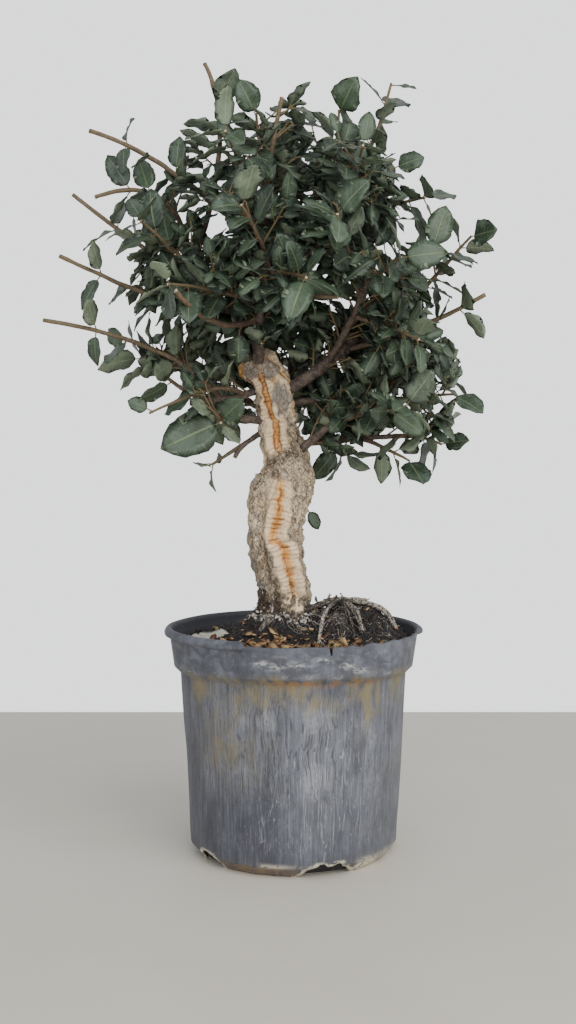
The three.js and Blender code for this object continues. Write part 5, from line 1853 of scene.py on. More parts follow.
@dataclass
class SurfaceRoots:
    """The arching root with its legs, and short roots at the trunk's foot."""

    paths: tuple = (
        (((-2, -8, 172), (18, -12, 181), (36, -10, 185), (56, -6, 182), (71, -2, 172), (78, 0, 150)), (2.3, 2)),
        (((33, -11, 185), (22, -27, 176), (17, -42, 154)), (1.5, 1.1)),
        (((35, -11, 186), (46, -19, 178), (50, -26, 164)), (1.3, 1)),
        (((-8, -14, 176), (-20, -26, 170), (-27, -40, 152)), (2.4, 1.5)),
        (((-14, -6, 176), (-36, -10, 168), (-46, -14, 150)), (2.4, 1.5)),
        (((-8, 12, 174), (-18, 34, 166), (-20, 48, 148)), (2.6, 1.6)),
    )
    pale: tuple = (0.9, 1, 0.7, 0.4, 0.2, 0.3)
    knot: tuple = (35, -10.5, 185)
    legs: int = 16
    rings: int = 90
    sides: int = 16

    def spider(self) -> Patch:
        """Thin legs that leave the knot of the arching root and drop to the soil in Bezier curves.

        Returns:
            All legs as one patch.
        """
        random = np.random.default_rng(131)
        around = random.uniform(-3.4, 0.5, self.legs)
        reach = random.uniform(9, 24, self.legs)
        foot = np.stack([reach * np.cos(around), 0.9 * reach * np.sin(around), -7 - 0.7 * reach], -1)
        top = random.normal(0, 1.2, (self.legs, 3)) + self.knot
        bend = top + foot * [0.6, 0.6, 0.1] + random.normal(0, 1.5, (self.legs, 3))
        rings, sides = 14, 6
        t = np.linspace(0, 1, rings)[None, :, None]
        paths = (1 - t) ** 2 * top[:, None] + 2 * t * (1 - t) * bend[:, None] + t * t * (foot + self.knot)[:, None]
        paths[:, 1:-1] += random.normal(0, 0.35, (self.legs, rings - 2, 3))
        radii = np.linspace(0.95, 0.45, rings) * random.uniform(0.6, 1.1, (self.legs, 1))
        patch = tubes(paths, radii, sides)
        patch.marks["young"] = np.repeat(random.uniform(-0.2, 0.7, self.legs).clip(0), rings * sides + 2)
        return patch

    def broken_ends(self) -> Patch:
        """Short broken roots that stand up where the legs meet, their far ends paler.

        Returns:
            All ends as one patch.
        """
        random = np.random.default_rng(133)
        foot = self.knot + random.normal(0, 1, (self.legs, 3)) * [5, 2, 0.4] + [-4, 0, -0.8]
        way = unit(random.normal(0, 1, (self.legs, 3)) * [1, 0.8, 0.3] + [-0.3, -0.2, 0.7])
        rings = sides = 7
        run = np.linspace(0, 1, rings)[None, :, None] * random.uniform(2.5, 6.5, (self.legs, 1, 1))
        paths = foot[:, None] + way[:, None] * run
        paths[:, 1:] += random.normal(0, 0.25, (self.legs, rings - 1, 3))
        radii = random.uniform(0.6, 1.25, (self.legs, 1)) * random.uniform(0.75, 1.15, (self.legs, rings))
        patch = tubes(paths, radii, sides)
        young = np.repeat(random.uniform(0.2, 1.4, self.legs), rings * sides + 2)
        patch.marks["young"] = patch.marks["stem"] * young.clip(0, 1)
        return patch

    def build(self) -> bpy.types.Object:
        """One gnarled tube a root, along its Catmull-Rom curve.

        Returns:
            The roots' piece.
        """
        shares = np.linspace(0, 1, self.rings)
        patches = []
        for number, ((path, radii), pale) in enumerate(zip(self.paths, self.pale)):
            taper = radii[0] + (radii[1] - radii[0]) * shares
            line, rings = gnarled(catmull(path, shares), taper, self.sides, 110 + number, 0.32)
            patch = tubes(line[None], rings[None], self.sides)
            patch.marks["young"] = pale * smooth_step(0.05, 0.6, patch.marks["stem"])
            patches.append(patch)
        patches += [self.spider(), self.broken_ends()]
        return make_piece("surface_roots", patches, [ROOT_BARK], "root_bark", "root_1", "root_2", "root_3", "root_4")


# Growth of twigs and leaves


@dataclass
class Lead:
    """The leaf nearest a tip: the way it points, the way its face looks, its length and width."""

    way: tuple
    face: tuple
    size: tuple


@dataclass
class Branch:
    """One leafy branch: its limb, where along it, its tip, leaves, pruned bare end and curve."""

    limb: str
    at: float
    tip: tuple
    leaves: int
    bare: Optional[float] = None
    scale: float = 1.0
    lead: Optional[Lead] = None
    bend: Optional[tuple] = None


LEFT_LEAD = Lead((-0.6, -0.1, -0.9), (-0.6, -1, 0.4), (24, 13))
HANGING_LEAD = Lead((-0.1, 0, -1), (-0.6, -1, 0.1), (20, 12))
LOW_LEAD = Lead((-0.8, -0.2, 0.3), (0, -1, 0.4), (14, 12))
BRANCHES = (
    Branch("leader", 1, (-27, 4, 538), 8, lead=Lead((0.05, 0, 1), (0, -1, 0.2), (24, 19))),
    Branch("leader", 0.85, (33, 2, 540), 8, lead=Lead((0.1, 0, 1), (0, -1, 0.3), (26, 23))),
    Branch("leader", 0.75, (8, 78, 512), 8),
    Branch("leader", 0.66, (-8, -60, 532), 8, 30, bend=(-24, -42, 462)),
    Branch("leader", 0.93, (-46, -66, 508), 8),
    Branch("left_leader", 1, (-141, -20, 473), 6, 18, bend=(-88, -12, 493)),
    Branch("left_leader", 0.92, (-65, 12, 576), 8, 40, bend=(-40, 8, 528)),
    Branch("leader", 0.8, (-146, -10, 522), 8, 30, 1, Lead((-0.3, 0, -1), (-0.5, -1, 0), (25, 13)), (-75, -6, 491)),
    Branch("left_leader", 0.7, (-161, 6, 480), 8, 26, bend=(-87, 2, 421)),
    Branch("left_leader", 0.6, (-104, -58, 450), 8),
    Branch("left_leader", 0.5, (-98, 62, 462), 8),
    Branch("left_leader", 0.4, (-168, -12, 433), 8, 22, 1, LEFT_LEAD, (-86, -4, 395)),
    Branch("right_up", 1, (70, -8, 556), 8, lead=Lead((0.8, 0, -0.1), (0, -0.6, 1), (15, 9))),
    Branch("right_up", 0.88, (74, 16, 502), 8, lead=Lead((0.8, -0.2, 0.4), (0.1, -1, 0.4), (20, 17))),
    Branch("right_up", 0.74, (92, -34, 470), 8),
    Branch("right_up", 0.6, (46, -76, 496), 8),
    Branch("right_up", 0.46, (58, 76, 490), 8),
    Branch("right_far", 1, (130, 4, 450), 8, lead=Lead((0.75, 0.1, 0.75), (0.2, -1, 0.1), (23, 20))),
    Branch("right_far", 0.8, (110, 44, 424), 8),
    Branch("right_far", 0.55, (84, 80, 398), 7),
    Branch("right_stout", 0.97, (136, -24, 404), 8, 16, bend=(82, -20, 373)),
    Branch("right_front", 0.42, (96, -52, 432), 8),
    Branch("right_front", 1, (70, -92, 420), 8),
    Branch("right_front", 0.8, (28, -102, 446), 8),
    Branch("right_front", 0.6, (84, -72, 368), 8),
    Branch("right_thin", 1, (110, 22, 352), 8),
    Branch("right_thin", 0.75, (84, 60, 346), 7),
    Branch("right_knot", 1, (116, -14, 334), 8, lead=Lead((0.9, 0, -0.5), (0.2, -1, 0.6), (26, 17))),
    Branch("right_knot", 0.75, (78, -58, 324), 7, 0),
    Branch("right_low", 1, (110, 10, 298), 8, lead=Lead((0.8, -0.1, 0.3), (0, -1, 0.5), (20, 15))),
    Branch("right_low", 0.7, (84, -14, 286), 5, lead=Lead((0.5, -0.2, -0.8), (0.2, -1, 0.4), (30, 21))),
    Branch("right_low", 0.45, (38, 38, 292), 5),
    Branch("left_high", 1, (-112, 4, 362), 8),
    Branch("left_high", 0.7, (-176, -34, 385), 8, 26, 1, HANGING_LEAD, (-82, -16, 372)),
    Branch("left_high", 0.36, (-99, -58, 319), 4, None, 1, LOW_LEAD, (-48, -34, 346)),
    Branch("left_mid", 0.75, (-51, -38, 313), 4, lead=Lead((-1, -0.2, -0.28), (0.1, -1, 0.3), (42, 32))),
    Branch("left_back", 1, (-84, 80, 366), 7),
    Branch("left_back", 0.7, (-64, 62, 322), 7),
    Branch("back_low", 1, (6, 106, 396), 7),
    Branch("back_low", 0.8, (50, 88, 366), 7),
    Branch("back_low", 0.55, (14, 76, 322), 7),
    Branch("back_leader", 1, (-30, 106, 446), 8),
    Branch("back_leader", 0.82, (-84, 84, 424), 7),
    Branch("back_leader", 0.62, (-26, 94, 490), 8),
    Branch("front_leader", 1, (-34, -102, 452), 8),
    Branch("front_leader", 0.84, (8, -98, 406), 8),
    Branch("front_leader", 0.62, (-84, -80, 404), 8),
    Branch("left_hook", 0.6, (-60, 2, 283), 4, scale=0.55),
    Branch("back_shoot", 0.7, (10, 23, 251), 2, scale=0.6, lead=Lead((0.5, 0, -0.8), (0.3, -1, 0.2), (15, 10))),
)


class Stream:
    """A repeatable stream of numbers from 0 to 1: state = 1664525 state + 1013904223, modulo 2^32."""

    def __init__(self, seed: int) -> None:
        """Starts the stream at a seed."""
        self.state = seed

    def __call__(self) -> float:
        """The next number."""
        self.state = (self.state * 1664525 + 1013904223) & 0xFFFFFFFF
        return self.state / 4294967296

    def direction(self) -> Array:
        """A random direction of unit length.

        Returns:
            The direction.
        """
        height = 2 * self() - 1
        turn = 2 * math.pi * self()
        flat = math.sqrt(1 - height * height)
        return np.array([flat * math.cos(turn), flat * math.sin(turn), height])


@dataclass
class Twig:
    """A twig's Bezier path, its radii, the vector that steadies its sections and its leafy end."""

    path: Array
    radii: tuple
    across: Array
    leafy_end: float

    def section(self, share: float) -> tuple:
        """Middle, direction, two vectors across and radius at a share of the twig's length.

        Args:
            share: Where along the twig, 0 to 1.

        Returns:
            The five, in that order.
        """
        axis = tangent(lambda t: bezier(self.path, t), share)
        u = unit(np.cross(axis, self.across))
        radius = self.radii[0] + (self.radii[1] - self.radii[0]) * share
        return bezier(self.path, share), axis, u, np.cross(axis, u), radius


@dataclass
class Leaf:
    """One leaf: its foot, directions and form."""

    foot: Array
    direction: Array
    side: Array
    normal: Array
    length: float
    width: float
    arch: float
    wave: float
    tooth: float
    samples: Optional[Array] = None

    petiole = 4.0

    def at(self, along: Array, across: Array) -> Array:
        """Middle surface: foot + along d + across s + (wave - arch) n, each in millimetres.

        The wave is w sin(7t) across / width and the arch is a length t^2, for the share t of the blade.

        Args:
            along: Distance along the leaf.
            across: Distance across it.

        Returns:
            One place for each pair.
        """
        share = np.maximum(0, along - self.petiole) / self.length
        rise = self.wave * np.sin(7 * share) * (across / self.width) - self.arch * self.length * share * share
        point = self.foot + self.direction * along[..., None] + self.side * across[..., None]
        return point + self.normal * rise[..., None]

    def sampled(self) -> "Leaf":
        """The leaf with 63 points over its blade that stand for it when distances are tested.

        Returns:
            The same leaf.
        """
        share = 0.05 + 0.94 * np.arange(9)[:, None] / 8
        half = 0.5 * self.width * np.minimum.reduce([0.32 + 3 * share, 0.55 + 0.8 * share, 2.4 * (1 - share)])
        across = half * np.arange(-3, 4) / 3
        self.samples = self.at(self.petiole + share * self.length + 0 * across, across).reshape(-1, 3)
        return self

    def middle(self) -> Array:
        """The blade's middle."""
        return self.at(np.array(self.petiole + self.length / 2), np.array(0.0))


class Crown:
    """All twigs and leaves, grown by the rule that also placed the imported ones, then thickened."""

    trunk_owner = -1
    crown_centre = np.array([-10.0, 0, 400])
    leaf_gap, wood_gap = 3.4, 1.6
    leaf_length, leaf_width = (19, 30), (0.6, 0.75)
    outline_centre, outline_depth = np.array([5.0, 0, 415]), 112
    outline_degrees = (
        *(-173, -157, -140, -126, -112, -106, -90, -60, -48, -31),
        *(3, 26, 44, 63, 83, 97, 119, 135, 151, 174),
    )
    outline_radii = (
        *(130, 134, 132, 144, 118, 92, 124, 134, 168, 138),
        *(108, 98, 116, 128, 150, 140, 142, 134, 118, 120),
    )
    windows = (
        (-34, 16, 150, 350),
        (-46, -26, 334, 362),
        (-28, -2, 346, 368),
        (8, 34, 336, 364),
        (26, 46, 356, 382),
        (-64, -30, 306, 340),
    )
    window_depth = -6
    twig_seed, leaf_seed, shoot_seed = 4100, 7300, 9001
    twig_tries, leaf_tries, shoot_leaf_tries = 60, 24, 9
    twig_owner, stub_owner = 100, 500
    most_leaves, leaf_samples = 6000, 63
    shoot_reach = (12, 34)
    shoot_gaps, front_gaps = (1.3, 0.5), (0.8, 0.4)

    def __init__(self, trunk: CorkTrunk) -> None:
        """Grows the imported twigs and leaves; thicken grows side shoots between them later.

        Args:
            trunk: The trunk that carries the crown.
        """
        self.balls = np.zeros((0, 3))
        self.ball_radii = np.zeros(0)
        self.owners = np.zeros(0, int)
        self.kept = 0
        self.middles, self.reaches = np.zeros((self.most_leaves, 3)), np.zeros(self.most_leaves)
        self.samples = np.zeros((self.most_leaves, self.leaf_samples, 3))
        shares = np.arange(80) / 79
        self.add_wood(trunk.centre(shares), trunk.size(shares)[:, 0] + 1, self.trunk_owner)
        self.limb_numbers = {name: i for i, name in enumerate(LIMBS)}
        for name, (path, radii) in LIMBS.items():
            self.add_wood(*self.along(np.array(path, float), radii), self.limb_numbers[name])
        self.twigs = [self.grow_twig(branch, i) for i, branch in enumerate(BRANCHES)]
        self.own = [self.grow_leaves(branch, i, self.twigs[i]) for i, branch in enumerate(BRANCHES)]

    def add_wood(self, places: Array, radii: Array, owner: int) -> None:
        """Notes wood that leaves and other stems stay clear of.

        Args:
            places: Middles of the wood.
            radii: Its radii.
            owner: Number of its stem.
        """
        self.balls = np.vstack([self.balls, places])
        self.ball_radii = np.append(self.ball_radii, radii)
        self.owners = np.append(self.owners, np.full(len(places), owner))

    @staticmethod
    def along(path: Array, radii: tuple) -> tuple:
        """Places and radii every 2.5 mm or less along a Bezier stem.

        Args:
            path: The stem's three places.
            radii: Its first and last radius.

        Returns:
            Places along the stem and the radius at each.
        """
        count = math.ceil(np.linalg.norm(path[2] - path[0]) / 2.5) + 1
        shares = np.arange(count) / (count - 1)
        return bezier(path, shares), radii[0] + (radii[1] - radii[0]) * shares

    def stem_clear(self, places: Array, radii: Array, limb: int, gap: float) -> bool:
        """Whether a stem keeps its distance from all wood but the limb that it starts on.

        Args:
            places: Middles of the stem.
            radii: Its radii.
            limb: Number of the limb.
            gap: The distance to keep.

        Returns:
            True where it is clear.
        """
        away = np.linalg.norm(places - places[0], axis=1)
        distance = np.linalg.norm(places[:, None] - self.balls[None], axis=2)
        clear = distance > radii[:, None] + self.ball_radii[None] + gap
        near_start = (away < 10)[:, None] & ((self.owners == limb) | (self.owners == self.trunk_owner))[None]
        return bool(np.all(clear | near_start | (away < 4)[:, None]))

    def grow_twig(self, branch: Branch, index: int) -> Twig:
        """The twig of one packed branch, bent clear of the wood that is already there.

        Args:
            branch: The branch.
            index: Its number, which seeds its stream.

        Returns:
            The twig.
        """
        random = Stream(self.twig_seed + index)
        start = bezier(np.array(LIMBS[branch.limb][0], float), branch.at)
        tip = np.array(branch.tip, float)
        length = np.linalg.norm(tip - start)
        radii = (2.1, 1.5) if branch.bare else (1.9, 0.95)
        across = unit(np.cross(random.direction(), tip - start))
        plain = (start + tip) / 2 + np.array([0, 0, length * 0.05])
        for attempt in range(self.twig_tries):
            sway = length * ((0 if branch.bend else 0.1) + 0.006 * attempt)
            middle = (np.array(branch.bend, float) if branch.bend else plain) + random.direction() * sway
            path = np.array([start, middle, tip])
            places, sizes = self.along(path, radii)
            if self.stem_clear(places, sizes, self.limb_numbers[branch.limb], self.wood_gap):
                self.add_wood(places, sizes, self.twig_owner + index)
                return Twig(path, radii, across, 1 - (branch.bare or 0) / length)
        raise ValueError(f"No clear way for leafy branch {index + 1}")

    @staticmethod
    def make_leaf(foot: Array, direction: Array, face: Array, size: tuple, random: Stream) -> Leaf:
        """A leaf from its foot, its direction, the way its face looks and its size.

        Args:
            foot: Where it starts.
            direction: The way it points.
            face: The way its face looks.
            size: Its length and width.
            random: Source of its arch, wave and tooth.

        Returns:
            The leaf.
        """
        side = unit(np.cross(direction, face))
        normal = unit(np.cross(side, direction))
        arch, wave, tooth = 0.04 + 0.24 * random(), 3 * (random() - 0.5), 0.52 + 0.12 * random()
        return Leaf(foot, direction, side, normal, size[0], size[1], arch, wave, tooth)

    def draw_leaf(self, foot: Array, axis: Array, outward: Array, forward: float, scale: float, random: Stream) -> Leaf:
        """A leaf that points out and forward from its twig, with its face turned to the light.

        Args:
            foot: Where it starts.
            axis: The twig's direction.
            outward: The way out of the twig.
            forward: How strongly it leans forward.
            scale: Its size against a full leaf.
            random: The branch's stream.

        Returns:
            The leaf.
        """
        direction = axis * (forward * (0.6 + 0.7 * random())) + outward + 0.3 * random.direction()
        direction[2] -= 0.15
        light = unit(foot - self.crown_centre)
        light[2] += 0.7
        light = light + 0.75 * random.direction()
        length = scale * (self.leaf_length[0] + (self.leaf_length[1] - self.leaf_length[0]) * random())
        width = length * (self.leaf_width[0] + (self.leaf_width[1] - self.leaf_width[0]) * random())
        return self.make_leaf(foot, unit(direction), light, (length, width), random)

    def clear(self, leaf: Leaf, leaf_gap: float, wood_gap: float) -> bool:
        """Whether a leaf keeps its distance from other leaves and from wood.

        Args:
            leaf: The leaf, sampled.
            leaf_gap: Distance to keep from leaves.
            wood_gap: Distance to keep from wood.

        Returns:
            True where it is clear.
        """
        middle, reach = leaf.middle(), leaf.length * 0.65
        close = np.linalg.norm(self.balls - middle, axis=1) <= reach + self.ball_radii + wood_gap
        distance = np.linalg.norm(leaf.samples[:, None] - self.balls[close][None], axis=2)
        if np.any(distance < self.ball_radii[close] + wood_gap):
            return False
        away = np.linalg.norm(self.middles[: self.kept] - middle, axis=1)
        near = self.samples[: self.kept][away <= reach + self.reaches[: self.kept] + leaf_gap].reshape(-1, 3)
        squares = np.sum(leaf.samples**2, axis=1)[:, None] + np.sum(near**2, axis=1)[None]
        return not np.any(squares - 2 * leaf.samples @ near.T < leaf_gap**2)

    def keep_leaf(self, leaf: Leaf) -> None:
        """Notes a leaf that later ones stay clear of.

        Args:
            leaf: The leaf, sampled.
        """
        self.middles[self.kept], self.reaches[self.kept] = leaf.middle(), leaf.length * 0.65
        self.samples[self.kept] = leaf.samples
        self.kept += 1

    def draw_lead(self, foot: Array, outward: Array, lead: Lead, attempt: int, random: Stream) -> Leaf:
        """A leaf whose direction, face and size are given, but for a turn that grows with each attempt.

        Args:
            foot: Where it starts.
            outward: The way out of the twig.
            lead: What is given of it.
            attempt: How many tries have failed.
            random: The branch's stream.

        Returns:
            The leaf.
        """
        way = unit(np.array(lead.way, float)) + random.direction() * (0.03 * attempt)
        way = way + outward * max(0, 0.75 - way @ outward)
        return self.make_leaf(foot, unit(way), np.array(lead.face, float), lead.size, random)

    def grow_leaves(self, branch: Branch, index: int, twig: Twig) -> list:
        """Leaves of one packed branch, two or three to a seat, from the leafy end of its twig back.

        Args:
            branch: The branch.
            index: Its number, which seeds its stream.
            twig: Its twig.

        Returns:
            The leaves.
        """
        random = Stream(self.leaf_seed + index)
        made: list = []
        left, face, k = branch.leaves, 0, 0
        while left > 0:
            at_tip = k == 0 and not branch.bare
            share = twig.leafy_end * (1 - (0.68 * k * 2) / branch.leaves) - 0.02
            centre, axis, u, v, radius = twig.section(share)
            outwards = [u * math.cos(a * math.pi / 3) + v * math.sin(a * math.pi / 3) for a in (1, 3, 5)]
            if k == 0 and branch.lead:
                towards = np.add(branch.lead.way, branch.lead.face)
                face = max(range(3), key=lambda i: outwards[i] @ towards)
            count = min(left, (1 if branch.lead else 3) if at_tip else 2)
            for i in range(count):
                outward = outwards[face % 3]
                foot = centre + outward * radius / 2
                for attempt in range(self.leaf_tries):
                    leaf = self.draw_leaf(foot, axis, outward, 0.85 if at_tip else 0.7, branch.scale, random)
                    if k == 0 and i == 0 and branch.lead:
                        leaf = self.draw_lead(foot, outward, branch.lead, attempt, random)
                    if leaf.direction @ outward < 0.55:
                        continue
                    if self.clear(leaf.sampled(), self.leaf_gap, self.wood_gap):
                        self.keep_leaf(leaf)
                        made.append(leaf)
                        break
                face += 1
            left -= count
            k += 1
        return made

    def share_out(self, place: Array) -> float:
        """How far out a place lies: 0 at the crown's middle and 1 on its outline, an ellipse in depth.

        Args:
            place: The place.

        Returns:
            Its share.
        """
        away = place - self.outline_centre
        degrees = math.degrees(math.atan2(away[2], away[0]))
        reach = np.interp(degrees, self.outline_degrees, self.outline_radii, period=360)
        return float(np.sqrt((away[0] ** 2 + away[2] ** 2) / reach**2 + (away[1] / self.outline_depth) ** 2))

    def inside(self, place: Array) -> bool:
        """Whether a place lies within the crown's outline."""
        return self.share_out(place) < 1

    def shows_wood(self, leaf: Leaf) -> bool:
        """Whether a leaf leaves the windows free through which the trunk and the stout limb show.

        Args:
            leaf: The leaf, sampled.

        Returns:
            True where all windows stay free.
        """
        x, y, z = leaf.samples.T
        hidden = [(x > a) & (x < b) & (z > low) & (z < high) for a, b, low, high in self.windows]
        return not np.any(np.any(hidden, axis=0) & (y < self.window_depth))

    def side_shoot(self, path: Array, random: Stream) -> Optional[tuple]:
        """A thin shoot off a stem, with three to six small leaves that fit between those already there.

        Args:
            path: The stem's Bezier path.
            random: Source of its choices.

        Returns:
            The shoot's path and its leaves, or None where nothing fits.
        """
        share = 0.25 + 0.68 * random()
        start = bezier(path, share)
        axis = tangent(lambda t: bezier(path, t), share)
        way = random.direction()
        way = unit(way - axis * (way @ axis) + 0.5 * axis + np.array([0, 0, 0.2]))
        length = self.shoot_reach[0] + (self.shoot_reach[1] - self.shoot_reach[0]) * random()
        tip = start + way * length
        thin = 0.6 * rough_field(tip[None], 26, 91)[0] + 1.5 * max(0.0, self.share_out(tip) - 0.62)
        if not self.inside(tip) or thin > 0.32:
            return None
        bend = (start + tip) / 2 + 0.12 * length * random.direction()
        shoot = np.array([start, bend, tip])
        leaves = []
        count = 3 + int(3.9 * random())
        for i in range(count):
            at = 1 - 0.62 * i / count
            direction = tangent(lambda t: bezier(shoot, t), at)
            for _ in range(self.shoot_leaf_tries):
                out = random.direction()
                out = unit(out - direction * (out @ direction))
                forward, scale = 1.4 if i == 0 else 0.8, 0.55 + 0.42 * random()
                leaf = self.draw_leaf(bezier(shoot, at), direction, out, forward, scale, random)
                tip_place = leaf.at(np.array(leaf.length), np.array(0.0))
                free = self.inside(tip_place) and self.shows_wood(leaf.sampled())
                if free and self.clear(leaf, *self.shoot_gaps):
                    self.keep_leaf(leaf)
                    leaves.append(leaf)
                    break
        return (shoot, leaves) if leaves else None

    def thicken(self, rounds: int) -> list:
        """The shoot in front of the trunk's top, and side shoots on most twigs and limbs.

        Args:
            rounds: Tries for each stem.

        Returns:
            For each twig, then each limb, its shoots.
        """
        limbs = [np.array(path, float) for path, _ in LIMBS.values()]
        stems = [twig.path for twig in self.twigs[:-2]] + limbs[1:-2]
        shoots: list = [[] for _ in stems]
        random = Stream(self.shoot_seed)
        for number, (path, radii) in enumerate(CUT_STUBS):
            self.add_wood(*self.along(np.array(path, float), radii), self.stub_owner + number)
        front = np.array(FRONT_SHOOT)
        given = [
            self.make_leaf(bezier(front, at), unit(np.array(way)), np.array(face), size, random)
            for at, way, face, size in FRONT_LEAVES
        ]
        free = [leaf for leaf in given if self.clear(leaf.sampled(), *self.front_gaps)]
        LOG.info("front leaves kept: %d of %d", len(free), len(given))
        for leaf in free:
            self.keep_leaf(leaf)
        shoots[0].append((front, free))
        for _ in range(rounds):
            for i, path in enumerate(stems):
                made = self.side_shoot(path, random)
                if made:
                    shoots[i].append(made)
        return shoots


@dataclass
class LeafForm:
    """The blade's outline: rows from foot to tip with their half widths, and how it is folded."""

    rows: tuple = (0, 0.06, 0.18, 0.32, 0.4, 0.52, 0.59, 0.7, 0.76, 0.87, 1)
    halves: tuple = (0.1, 0.5, 0.85, 1.0, 0.96, 1.0, 0.92, 0.85, 0.74, 0.5, 0.03)
    columns: tuple = (-1, -0.5, 0, 0.5, 1)
    fold: float = 0.08
    ripple: float = 0.05
    thickness: float = 0.32

    def blades(self, leaves: Sequence[Leaf], seed: int) -> Patch:
        """All blades as one patch: a toothed grid a leaf, its two faces joined along their edge.

        The middle surface is the leaf's own, lifted by a fold of |u| and a ripple sin(13t) u^2.

        Args:
            leaves: The leaves.
            seed: Seed of their tones.

        Returns:
            The patch, with finish 1 above and 2 below.
        """
        random = np.random.default_rng(seed)
        keys = ("foot", "direction", "side", "normal", "length", "width", "arch", "wave", "tooth")
        stack = {key: np.array([getattr(leaf, key) for leaf in leaves]) for key in keys}
        count, rows, columns = len(leaves), len(self.rows), len(self.columns)
        share = np.array(self.rows)[None, :, None] + 0 * stack["length"][:, None, None]
        share = share + (stack["tooth"] - 0.58)[:, None, None] * np.sin(np.pi * share) * 0.5
        half = np.array(self.halves)[None, :, None] * (1 + random.uniform(-0.035, 0.035, (count, rows, 1)))
        u = np.array(self.columns)[None, None, :] * np.ones((count, rows, 1))
        length, width = stack["length"][:, None, None], stack["width"][:, None, None]
        across = u * half * width / 2
        rise = stack["wave"][:, None, None] * np.sin(7 * share) * (across / width)
        rise = rise - stack["arch"][:, None, None] * length * share**2
        fold = self.fold * random.uniform(0.2, 1.8, (count, 1, 1))
        phase = random.uniform(0, 2 * np.pi, (count, 1, 1))
        lift = fold * width * np.abs(u) * half + self.ripple * width * u**2 * np.sin(13 * share + phase + u)
        axes = [stack[key][:, None, None, :] for key in ("foot", "direction", "side", "normal")]
        middle = axes[0] + axes[1] * (Leaf.petiole + share * length)[..., None] + axes[2] * across[..., None]
        middle = middle + axes[3] * (rise + lift)[..., None]
        inner = np.zeros((rows, columns))
        inner[1:-1, 1:-1] = self.thickness / 2
        top = middle + axes[3] * inner[None, :, :, None]
        under = (middle - axes[3] * inner[None, :, :, None])[:, 1:-1, 1:-1]
        size, hidden = rows * columns, (rows - 2) * (columns - 2)
        points = np.concatenate([top.reshape(count, size, 3), under.reshape(count, hidden, 3)], axis=1)
        index = np.arange(size).reshape(rows, columns)
        index[1:-1, 1:-1] = size + np.arange(hidden).reshape(rows - 2, columns - 2)
        quads = grid_quads(rows, columns, False)
        start = np.arange(count)[:, None, None] * (size + hidden)
        patch = Patch(points.reshape(-1, 3)).add((quads + start).reshape(-1, 4), 1)
        patch.add((index.ravel()[quads][:, ::-1] + start).reshape(-1, 4), 2)
        flat = np.stack([(u + 1) / 2, share + 0 * u], -1)
        below = flat[:, 1:-1, 1:-1].reshape(count, hidden, 2)
        patch.flat = np.concatenate([flat.reshape(count, size, 2), below], axis=1).reshape(-1, 2)
        patch.marks["tone"] = np.repeat(random.beta(2, 2.6, count), size + hidden)
        return patch

    @staticmethod
    def petioles(leaves: Sequence[Leaf]) -> Patch:
        """A short stalk a leaf, from its twig to the foot of its blade.

        Args:
            leaves: The leaves.

        Returns:
            All stalks as one patch.
        """
        shares = np.array([-0.8, 0.8, 3.0, 4.6])
        paths = np.stack([leaf.at(shares, 0 * shares) for leaf in leaves])
        radii = np.array([0.75, 0.5, 0.45, 0.3]) * np.ones((len(leaves), 1))
        patch = tubes(paths, radii, 4)
        patch.marks["young"] = np.ones(len(patch.points))
        return patch


